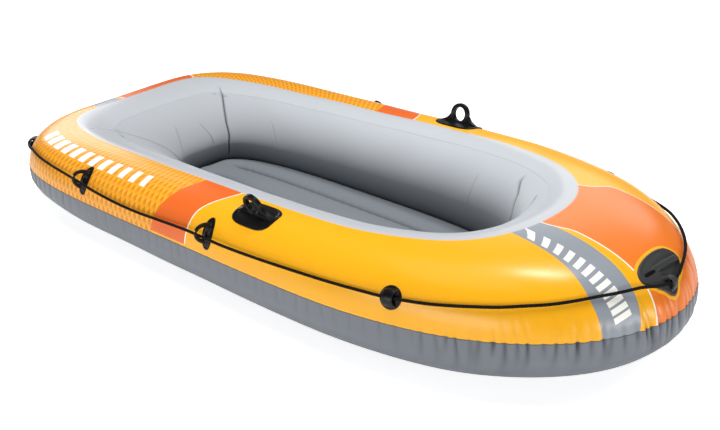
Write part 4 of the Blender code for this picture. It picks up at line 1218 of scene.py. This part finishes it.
def tall_guide(place):
    """A long oval pad with a raised spine and two prongs that curl towards each other."""
    base, _across, up, out = place
    parts = [
        ground.pad(place, oval(0.0205, 0.0475, 2.1, 64), PAD_PROFILE),
        ground.dome(place, (0.0, 0.0), (0.0125, 0.036), 0.0085),
        ground.dome(place, (0.003, 0.016), (0.010, 0.014), 0.0135),
        ground.dome(place, (0.003, -0.018), (0.010, 0.014), 0.0125),
    ]
    for start, tip in ((0, 76), (180, 104)):
        turns = (start, tip)
        parts.append(arch(place, PRONG_ROOT, PRONG_HEIGHT, PRONG_WIDE, PRONG_WIDE, turns))
        angle = math.radians(tip)
        rise = PRONG_HEIGHT * math.sin(angle) ** 0.8 - 0.002
        spot = base - up * (PRONG_ROOT * math.cos(angle)) + out * rise
        parts.append(ball(spot, PRONG_TIP))
    return parts


def low_guide(place):
    """A round pad with a raised rim and a broad strap over the rope, hollow behind."""
    return [
        ground.pad(place, oval(0.0312, 0.0312, 2.0, 64), PAD_PROFILE),
        ground.dome(place, (0.0, 0.0165), (0.0205, 0.0105), 0.009),
        ground.dome(place, (0.0, -0.0165), (0.0205, 0.0105), 0.009),
        arch(place, 0.0195, 0.0235, (0.0205, 0.0150), (0.0050, 0.0034)),
    ]


for label, spot in {**TALL_GUIDES, **LOW_GUIDES}.items():
    shells = (tall_guide if label in TALL_GUIDES else low_guide)(hull.frame(*spot))
    piece = moulded("dressed_" + label, shells, 0.0011, 3)
    dress(piece, BLACK_RUBBER)
    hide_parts(label)

OARLOCK_PLACE = (0.4335, 71.5)
EYE_HEIGHT, EYE_RADIUS, EAR_RADIUS = 0.032, 0.0225, 0.0345
EAR_FOOT = (
    (-0.0760, -0.006), (-0.0730, 0.0035), (-0.0655, 0.0065), (-0.0560, 0.0105),
    (-0.0475, 0.0155), (-0.0410, 0.0215), (-0.0365, 0.0280),
)


def oarlock(place):
    """A soft square pad with an upright ear whose flanks sweep down into it."""
    head = []
    for step in range(33):
        angle = math.radians(184 - 188 * step / 32)
        head.append((EAR_RADIUS * math.cos(angle), EYE_HEIGHT + EAR_RADIUS * math.sin(angle)))
    edge = list(EAR_FOOT) + head + [(-x, z) for x, z in reversed(EAR_FOOT)]
    edge += [(0.05, -0.010), (0.0, -0.012), (-0.05, -0.010)]
    return [
        ground.pad(place, oval(0.0785, 0.0485, 3.4, 96), PAD_PROFILE),
        plate(place, edge, 0.0070),
        ring_band(place, EYE_HEIGHT, 0.0285, 0.0088, 0.0050),
        ground.dome(place, (0.0, 0.0), (0.070, 0.015), 0.0075),
        ground.dome(place, (0.052, 0.0), (0.020, 0.020), 0.0050),
        ground.dome(place, (-0.052, 0.0), (0.020, 0.020), 0.0050),
    ]


def bore_eye(item, place, reach, height):
    """Opens the eye through the ear."""
    base, _across, up, out = place
    centre = base + out * height
    turn = up.to_track_quat("Z", "Y").to_matrix().to_4x4()
    turn.translation = centre
    edit = bmesh.new()
    size = {"radius1": reach, "radius2": reach, "depth": 0.06}
    bmesh.ops.create_cone(edit, cap_ends=True, segments=64, matrix=turn, **size)
    mesh = bpy.data.meshes.new("eye_cutter")
    edit.to_mesh(mesh)
    edit.free()
    cutter = add_object("eye_cutter", mesh)
    change = item.modifiers.new("bore", "BOOLEAN")
    change.operation = "DIFFERENCE"
    change.solver = "EXACT"
    change.object = cutter
    settle(item)
    bpy.data.objects.remove(cutter, do_unlink=True)
    return item


for label, side_sign in (("oarlock_near", -1), ("oarlock_far", 1)):
    place = hull.frame(side_sign * OARLOCK_PLACE[0], OARLOCK_PLACE[1])
    parts = oarlock(place)
    ear = bore_eye(join_shells("ear", parts[1:2]), place, EYE_RADIUS, EYE_HEIGHT)
    parts[1] = bmesh.new()
    parts[1].from_mesh(ear.data)
    bpy.data.objects.remove(ear, do_unlink=True)
    piece = moulded("dressed_" + label, parts, 0.0012, 3)
    dress(piece, BLACK_RUBBER)
    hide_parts(label)

PATCH_OUTLINE = rounded(
    (
        (-0.0625, 0.0400), (-0.0300, 0.0505), (0.0100, 0.0545), (0.0510, 0.0515),
        (0.0790, 0.0400), (0.0920, 0.0090), (0.0640, -0.0240), (0.0230, -0.0420),
        (-0.0060, -0.0640), (-0.0250, -0.0625), (-0.0385, -0.0470), (-0.0610, -0.0230),
        (-0.0840, 0.0035), (-0.0800, 0.0250),
    ),
    8,
)


RIB_STEPS = 24
PATCH_EYE = (-0.015, -0.034)
SLOT_SIZE = (0.0195, 0.0045)
SLOT_PLACE = (-0.0450, 0.0137)
SLOT_TILT = 0.12
BORDER_PROFILE = ((1.0, 0.0004), (0.97, 0.0007), (0.5, 0.0007), (0.05, 0.0007))


def bow_patch(place):
    """The bow's pad with its long rib and an eye for the rope."""
    _base, across, up, out = place
    parts = [ground.pad(place, PATCH_OUTLINE, PAD_PROFILE)]
    rib = []
    for step in range(RIB_STEPS + 1):
        share = step / RIB_STEPS
        u, v = -0.024 + 0.110 * share, 0.0145 - 0.010 * share
        lift = 0.0125 * (1 - abs(2 * share - 1) ** 5)
        rib.append(ground.spot(place, u, v, lift - 0.004))
    rings = []
    for index, spot in enumerate(rib):
        way = (rib[min(index + 1, RIB_STEPS)] - rib[max(index - 1, 0)]).normalized()
        side_way = out.cross(way).normalized()
        over = way.cross(side_way)
        rings.append([spot + side_way * u + over * v for u, v in oval(0.0078, 0.0058, 3.4, 24)])
    parts.append(shell(rings))
    parts.append(ground.dome(place, (0.012, 0.010), (0.062, 0.019), 0.0045))
    eye = (ground.spot(place, *PATCH_EYE, 0.0), across, up, out)
    parts.append(ground.dome(place, PATCH_EYE, (0.021, 0.025), 0.0045))
    parts.append(arch(eye, 0.0165, 0.0245, (0.0105, 0.0092), (0.0046, 0.0038)))
    return parts


patch_place = hull.frame(0.0075, 37.5)
piece = moulded("dressed_bow_patch", bow_patch(patch_place), 0.0012, 3)
dress(piece, PATCH_RUBBER)
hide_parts("bow_patch")
# The slot is not cut: a thin near-black pad on the patch paints its shade
slot_outline = [
    (u * 0.99 + v * SLOT_TILT + SLOT_PLACE[0], v * 0.99 - u * SLOT_TILT + SLOT_PLACE[1])
    for u, v in oval(*SLOT_SIZE, 3.0, 32)
]
slot_shade_pad = join_shells("patch_slot", [ground.pad(patch_place, slot_outline, ((1.0, 0.0044),))])
dress(smooth(slot_shade_pad, 40), SLOT_SHADE_BLACK)
border_pad = ground.pad(patch_place, widened(PATCH_OUTLINE, 0.0085), BORDER_PROFILE, 0.002)
border = join_shells("patch_border", [border_pad])
dress(smooth(border, 40), BORDER_VINYL)


# Swept lips and their ribs, made by one node tree
LIP_SIZES = {
    "Reach": 0.003, "Thickness": 0.0016, "Rib Spacing": 0.006, "Rib Width": 0.0016,
    "Rib Share": 1.15,
}


def make_lip_tree():
    tree = bpy.data.node_groups.new("ribbed_lip", "GeometryNodeTree")
    face = tree.interface
    face.new_socket("Path", in_out="INPUT", socket_type="NodeSocketGeometry")
    for label, value in LIP_SIZES.items():
        face.new_socket(label, in_out="INPUT", socket_type="NodeSocketFloat").default_value = value
    face.new_socket("Finish", in_out="INPUT", socket_type="NodeSocketMaterial")
    face.new_socket("Lip", in_out="OUTPUT", socket_type="NodeSocketGeometry")
    board = Board(tree)
    given = board.node("NodeGroupInput").outputs

    def first_output(kind, inputs, **settings):
        return board.node("GeometryNode" + kind, inputs, **settings).outputs[0]

    line = first_output("MeshToCurve", {"Mesh": given["Path"]})
    line = first_output("SetCurveNormal", {"Curve": line}, mode="Z_UP")
    circle = first_output("CurvePrimitiveCircle", {"Resolution": 12, "Radius": 1.0})
    size = board.join(given["Thickness"], given["Reach"], 1.0)
    profile = first_output("Transform", {"Geometry": circle, "Scale": size})
    lip = first_output("CurveToMesh", {"Curve": line, "Profile Curve": profile})
    inputs = {"Curve": line, "Length": given["Rib Spacing"]}
    spots = board.node("GeometryNodeCurveToPoints", inputs, mode="LENGTH")
    double = board.times(given["Rib Share"], 2.0)
    high = board.times(given["Thickness"], double)
    deep = board.times(given["Reach"], double)
    rib = first_output("MeshCube", {"Size": board.join(high, deep, given["Rib Width"])})
    points, turns = spots.outputs["Points"], spots.outputs["Rotation"]
    ribs = first_output("InstanceOnPoints", {"Points": points, "Instance": rib, "Rotation": turns})
    both = board.node("GeometryNodeJoinGeometry")
    board.feed(both.inputs[0], lip)
    board.feed(both.inputs[0], ribs)
    real = first_output("RealizeInstances", {"Geometry": both.outputs[0]})
    done = first_output("SetMaterial", {"Geometry": real, "Material": given["Finish"]})
    board.feed(board.node("NodeGroupOutput").inputs[0], done)
    return tree


LIP_TREE = make_lip_tree()


def apply_tree(item, tree, **inputs):
    """Runs a node tree on a piece with named inputs and keeps the plain mesh."""
    change = item.modifiers.new("tree", "NODES")
    change.node_group = tree
    for socket in tree.interface.items_tree:
        key = socket.name.replace(" ", "_")
        if socket.in_out == "INPUT" and key in inputs:
            change[socket.identifier] = inputs[key]
    return settle(item)


def lip_along(name, points, material, **sizes):
    mesh = bpy.data.meshes.new(name)
    count = len(points)
    mesh.from_pydata([tuple(p) for p in points], [(i, (i + 1) % count) for i in range(count)], [])
    item = apply_tree(add_object(name, mesh), LIP_TREE, Finish=material, **sizes)
    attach(smooth(item, 40), "hull")
    return item


def band_line(along, turn, margin):
    """Points of the finished skin along one turn, read with a margin on either side."""
    grid, _maps = skin_grid(along, [turn - margin, turn, turn + margin])
    return grid[:, 1]


seam_line = band_line(stations(2000, (0.0,), 0.2, 1.5), SEAM_TURN, 0.4)
lip = lip_along(
    "seam_lip", seam_line, SEAM_VINYL,
    Reach=0.0011, Thickness=0.0006, Rib_Spacing=0.0065, Rib_Share=1.1,
)
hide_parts("seam_flange")
weld_line = band_line(stations(1200, (), 1.0, 0.0), WELD_TURN, 1.0)
weld = lip_along(
    "rim_weld", weld_line, WELD_VINYL,
    Reach=0.0006, Thickness=0.0006, Rib_Spacing=0.008, Rib_Share=1.0,
)


# Floor cushion
def wall_outline(height):
    """Plan points of the inner wall's lower half at a height, bow to stern, far side."""
    along = np.linspace(0, 1, 400)
    outside, _crest, inside = hull.plan(along)
    waist = INSIDE_HEIGHT * (1 + BOW_RISE * outside[:, 0] / HALF_LENGTH)
    power = ROUND_BELOW[1]
    across = (1 - (1 - height / waist) ** power) ** (1 / power)
    keel = outside + (inside - outside) * KEEL_SHARE
    return keel + (inside - keel) * across[:, None]


FLOOR_HEIGHT = 0.08
FLOOR_WAIST = 0.042
FLOOR_EDGE = 0.03
FLOOR_INSET = 0.001
FLOOR_SHARE = 0.992
# Welded channels: their places as shares of the half width, how far they stay from the ends and
# fade there, and the half width and depth of their dip
CHANNELS = (-0.53, 0.0, 0.53)
CHANNEL_START, CHANNEL_FADE = 0.07, 0.06
CHANNEL_REACH, CHANNEL_DEPTH = 0.05, 0.021
# Puckers beside them, and the width and strength of the shade painted along the welds and by the
# wall
PUCKER_HEIGHT, PUCKER_SPACING = 0.0011, 0.034
CHANNEL_SHADE_WIDTH, WALL_SHADE_WIDTH = 0.0065, 0.016
PAINTED_SHADE_STRENGTH = 0.7


class FloorPlan:
    """Half width of the floor at any x, as wide as the inner wall leaves free."""

    def __init__(self):
        self.walls = []
        for height in np.linspace(FLOOR_WAIST, FLOOR_HEIGHT, 5):
            share = (height - FLOOR_WAIST) / (FLOOR_HEIGHT - FLOOR_WAIST)
            drawn = FLOOR_EDGE * (1 - math.sqrt(max(1 - share**2, 0.0)))
            self.walls.append((wall_outline(height), drawn))
        bow = min(wall[0, 0] + drawn for wall, drawn in self.walls) - FLOOR_INSET
        stern = max(wall[-1, 0] - drawn for wall, drawn in self.walls) + FLOOR_INSET
        self.bow, self.stern = bow * FLOOR_SHARE, stern * FLOOR_SHARE

    def half_width(self, x):
        widths = []
        for wall, drawn in self.walls:
            order = np.argsort(wall[:, 0])
            widths.append(np.interp(x, wall[order, 0], wall[order, 1]) + drawn)
        return np.min(widths, axis=0) - FLOOR_INSET


def edge_distances(points, outline):
    best = np.full(len(points), 1e9)
    for start, end in zip(outline, np.roll(outline, -1, axis=0)):
        way = end - start
        square = max(way.dot(way), 1e-12)
        share = np.clip(((points - start) @ way) / square, 0, 1)
        best = np.minimum(best, np.linalg.norm(points - start - share[:, None] * way, axis=1))
    return best


def floor_piece():
    """A closed air cushion: crowned between three long welded channels."""
    plan = FloorPlan()
    rows, columns = 220, 96
    middle, reach = (plan.bow + plan.stern) / 2, (plan.bow - plan.stern) / 2
    steps = np.linspace(-1, 1, rows)
    xs = middle + reach * (np.sin(steps * math.pi / 2) * 0.7 + steps * 0.3)
    widths = plan.half_width(xs)
    shares = np.linspace(-1, 1, columns)
    shares = np.sin(shares * math.pi / 2) * 0.35 + shares * 0.65
    x = np.repeat(xs[:, None], columns, axis=1)
    y = widths[:, None] * shares[None, :]
    outline = np.concatenate([np.stack([xs, -widths], 1), np.stack([xs, widths], 1)[::-1]])
    inset = edge_distances(np.stack([x.ravel(), y.ravel()], 1), outline).reshape(x.shape)
    arched = np.sqrt(np.maximum(1 - (1 - np.clip(inset / FLOOR_EDGE, 0, 1)) ** 2, 0))
    top = FLOOR_WAIST + (FLOOR_HEIGHT - FLOOR_WAIST) * arched
    fade = ease((np.minimum(plan.bow - x, x - plan.stern) - CHANNEL_START) / CHANNEL_FADE)
    # Painted shade along the wall's foot and in the channels' welds
    painted_shade_mark = 0.9 * np.exp(-((inset / WALL_SHADE_WIDTH) ** 2))
    for share in CHANNELS:
        away = y - share * widths[:, None]
        off = np.clip(np.abs(away) / CHANNEL_REACH, 0, 1)
        top -= CHANNEL_DEPTH * fade * (1 - np.sqrt(np.maximum(1 - (1 - off) ** 2 * 0.985, 0)))
        painted_shade_mark = np.maximum(painted_shade_mark, fade * np.exp(-((away / CHANNEL_SHADE_WIDTH) ** 2)))
        pucker = np.exp(-((away / 0.022) ** 2)) - np.exp(-((away / 0.006) ** 2))
        wave = np.sin(x * 2 * math.pi / PUCKER_SPACING + 3 * np.sin(x * 9 + share * 7))
        top += PUCKER_HEIGHT * fade * pucker * wave
    foot = SHEET + GAP
    under = FLOOR_WAIST - (FLOOR_WAIST - foot) * arched
    upper = np.stack([x, y, top], axis=-1)
    lower = np.stack([x, y, under], axis=-1)
    grid = np.concatenate([upper, lower[:, ::-1]], axis=1)
    marks = np.concatenate([painted_shade_mark, np.zeros(painted_shade_mark.shape), painted_shade_mark[:, :1]], axis=1)
    maps = {"fold": np.stack([marks * PAINTED_SHADE_STRENGTH, np.zeros(marks.shape)], axis=-1)}
    mesh = grid_mesh("floor_cushion", grid, False, True, maps)
    return smooth(add_object("floor_cushion", close_rims(mesh, weld=0.0002)))


floor_cushion = floor_piece()
dress(floor_cushion, FLOOR_VINYL)
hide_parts("floor_chamber")

FINISHES = {
    "black_rope": KNOT_CORD,
    "valve_body": VALVE_PLASTIC,
    "valve_cap": CAP_PLASTIC,
    "clear_flap": FLAP_VINYL,
    "bottom_vinyl": BELLY_VINYL,
    "seam_vinyl": SEAM_VINYL,
    "floor_vinyl": FLOOR_VINYL,
}
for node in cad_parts.values():
    if node.hide_render:
        continue
    for place in node.material_slots:
        place.material = FINISHES.get(place.material.name, BLACK_RUBBER)


# Floor, backdrop and light
STAGE_REACH = 30.0
STAGE_NEAR, STAGE_FAR = 1.8, 5.0
GLOW_NEAR, GLOW_FAR = 0.74, 1.20
GLOW_UNSEEN = 0.16
SKY_UNSEEN = 0.40


def make_stage():
    """A white floor that looks brighter away from the boat, and an even background."""
    mesh = bpy.data.meshes.new("studio_floor")
    square = ((-1, -1), (1, -1), (1, 1), (-1, 1))
    corners = [(x * STAGE_REACH, y * STAGE_REACH, 0) for x, y in square]
    mesh.from_pydata(corners, [], [(0, 1, 2, 3)])
    floor = add_object("studio_floor", mesh)
    material, board, shader = new_material("studio_floor_paint")
    shader.inputs["Base Color"].default_value = (0.90, 0.90, 0.905, 1.0)
    shader.inputs["Roughness"].default_value = 0.9
    shader.inputs["Specular IOR Level"].default_value = 0.1
    shader.inputs["Emission Color"].default_value = (1.0, 1.0, 1.0, 1.0)
    path = board.node("ShaderNodeLightPath")
    x, y = board.split(board.place())[:2]
    away = board.math("SQRT", board.plus(board.times(x, x), board.times(y, y)))
    seen = board.fit(away, STAGE_NEAR, STAGE_FAR, GLOW_NEAR, GLOW_FAR)
    seen = board.times(path.outputs["Is Camera Ray"], board.less(seen, GLOW_UNSEEN))
    board.feed(shader.inputs["Emission Strength"], board.plus(seen, GLOW_UNSEEN))
    mesh.materials.append(material)
    world = bpy.data.worlds.new("studio")
    world.use_nodes = True
    board = Board(world.node_tree)
    path = board.node("ShaderNodeLightPath").outputs
    seen = board.math("MAXIMUM", path["Is Camera Ray"], path["Is Transmission Ray"])
    seen = board.math("MAXIMUM", seen, path["Is Glossy Ray"])
    back = world.node_tree.nodes["Background"]
    board.feed(back.inputs["Strength"], board.ramp(seen, 0.0, 1.0, SKY_UNSEEN, 1.0))
    bpy.context.scene.world = world


def add_lamp(name, place, target, size, power, gloss):
    data = bpy.data.lights.new(name, "AREA")
    data.shape = "RECTANGLE"
    data.size, data.size_y = size
    data.energy = power
    lamp = add_object(name, data)
    lamp.location = place
    lamp.visible_glossy = gloss
    aim = Vector(target) - Vector(place)
    lamp.rotation_euler = aim.to_track_quat("-Z", "Y").to_euler()


# Lamps: place, target, size, power, and whether shiny skins mirror it
LAMPS = {
    "overhead": ((-0.3, -0.2, 3.3), (0, 0, 0.1), (2.4, 1.8), 92, False),
    "highlight": ((0.4, 0.95, 3.0), (0.9, -0.2, 0.3), (0.75, 0.4), 27, True),
    "back_sheen": ((-1.2, 3.8, 2.0), (0.6, 0.1, 0.3), (2.6, 1.2), 20, True),
    "window": ((2.7, 1.6, 2.5), (0.2, 0, 0.2), (1.4, 1.0), 18, False),
    "front_fill": ((0.9, -4.5, 0.8), (0, 0, 0.15), (4.4, 1.4), 86, True),
    "left_fill": ((-3.6, -2.4, 1.5), (-0.7, 0, 0.15), (1.8, 1.4), 26, False),
    "bow_fill": ((3.8, 0.0, 0.5), (1.0, 0, 0.15), (2.2, 0.6), 35, True),
    "stern_glow": ((-4.2, 0.9, 1.35), (-1.0, 0, 0.25), (1.8, 1.0), 22, True),
}
make_stage()
for label, values in LAMPS.items():
    add_lamp(label, *values)
view = bpy.context.scene.view_settings
view.view_transform = "Standard"
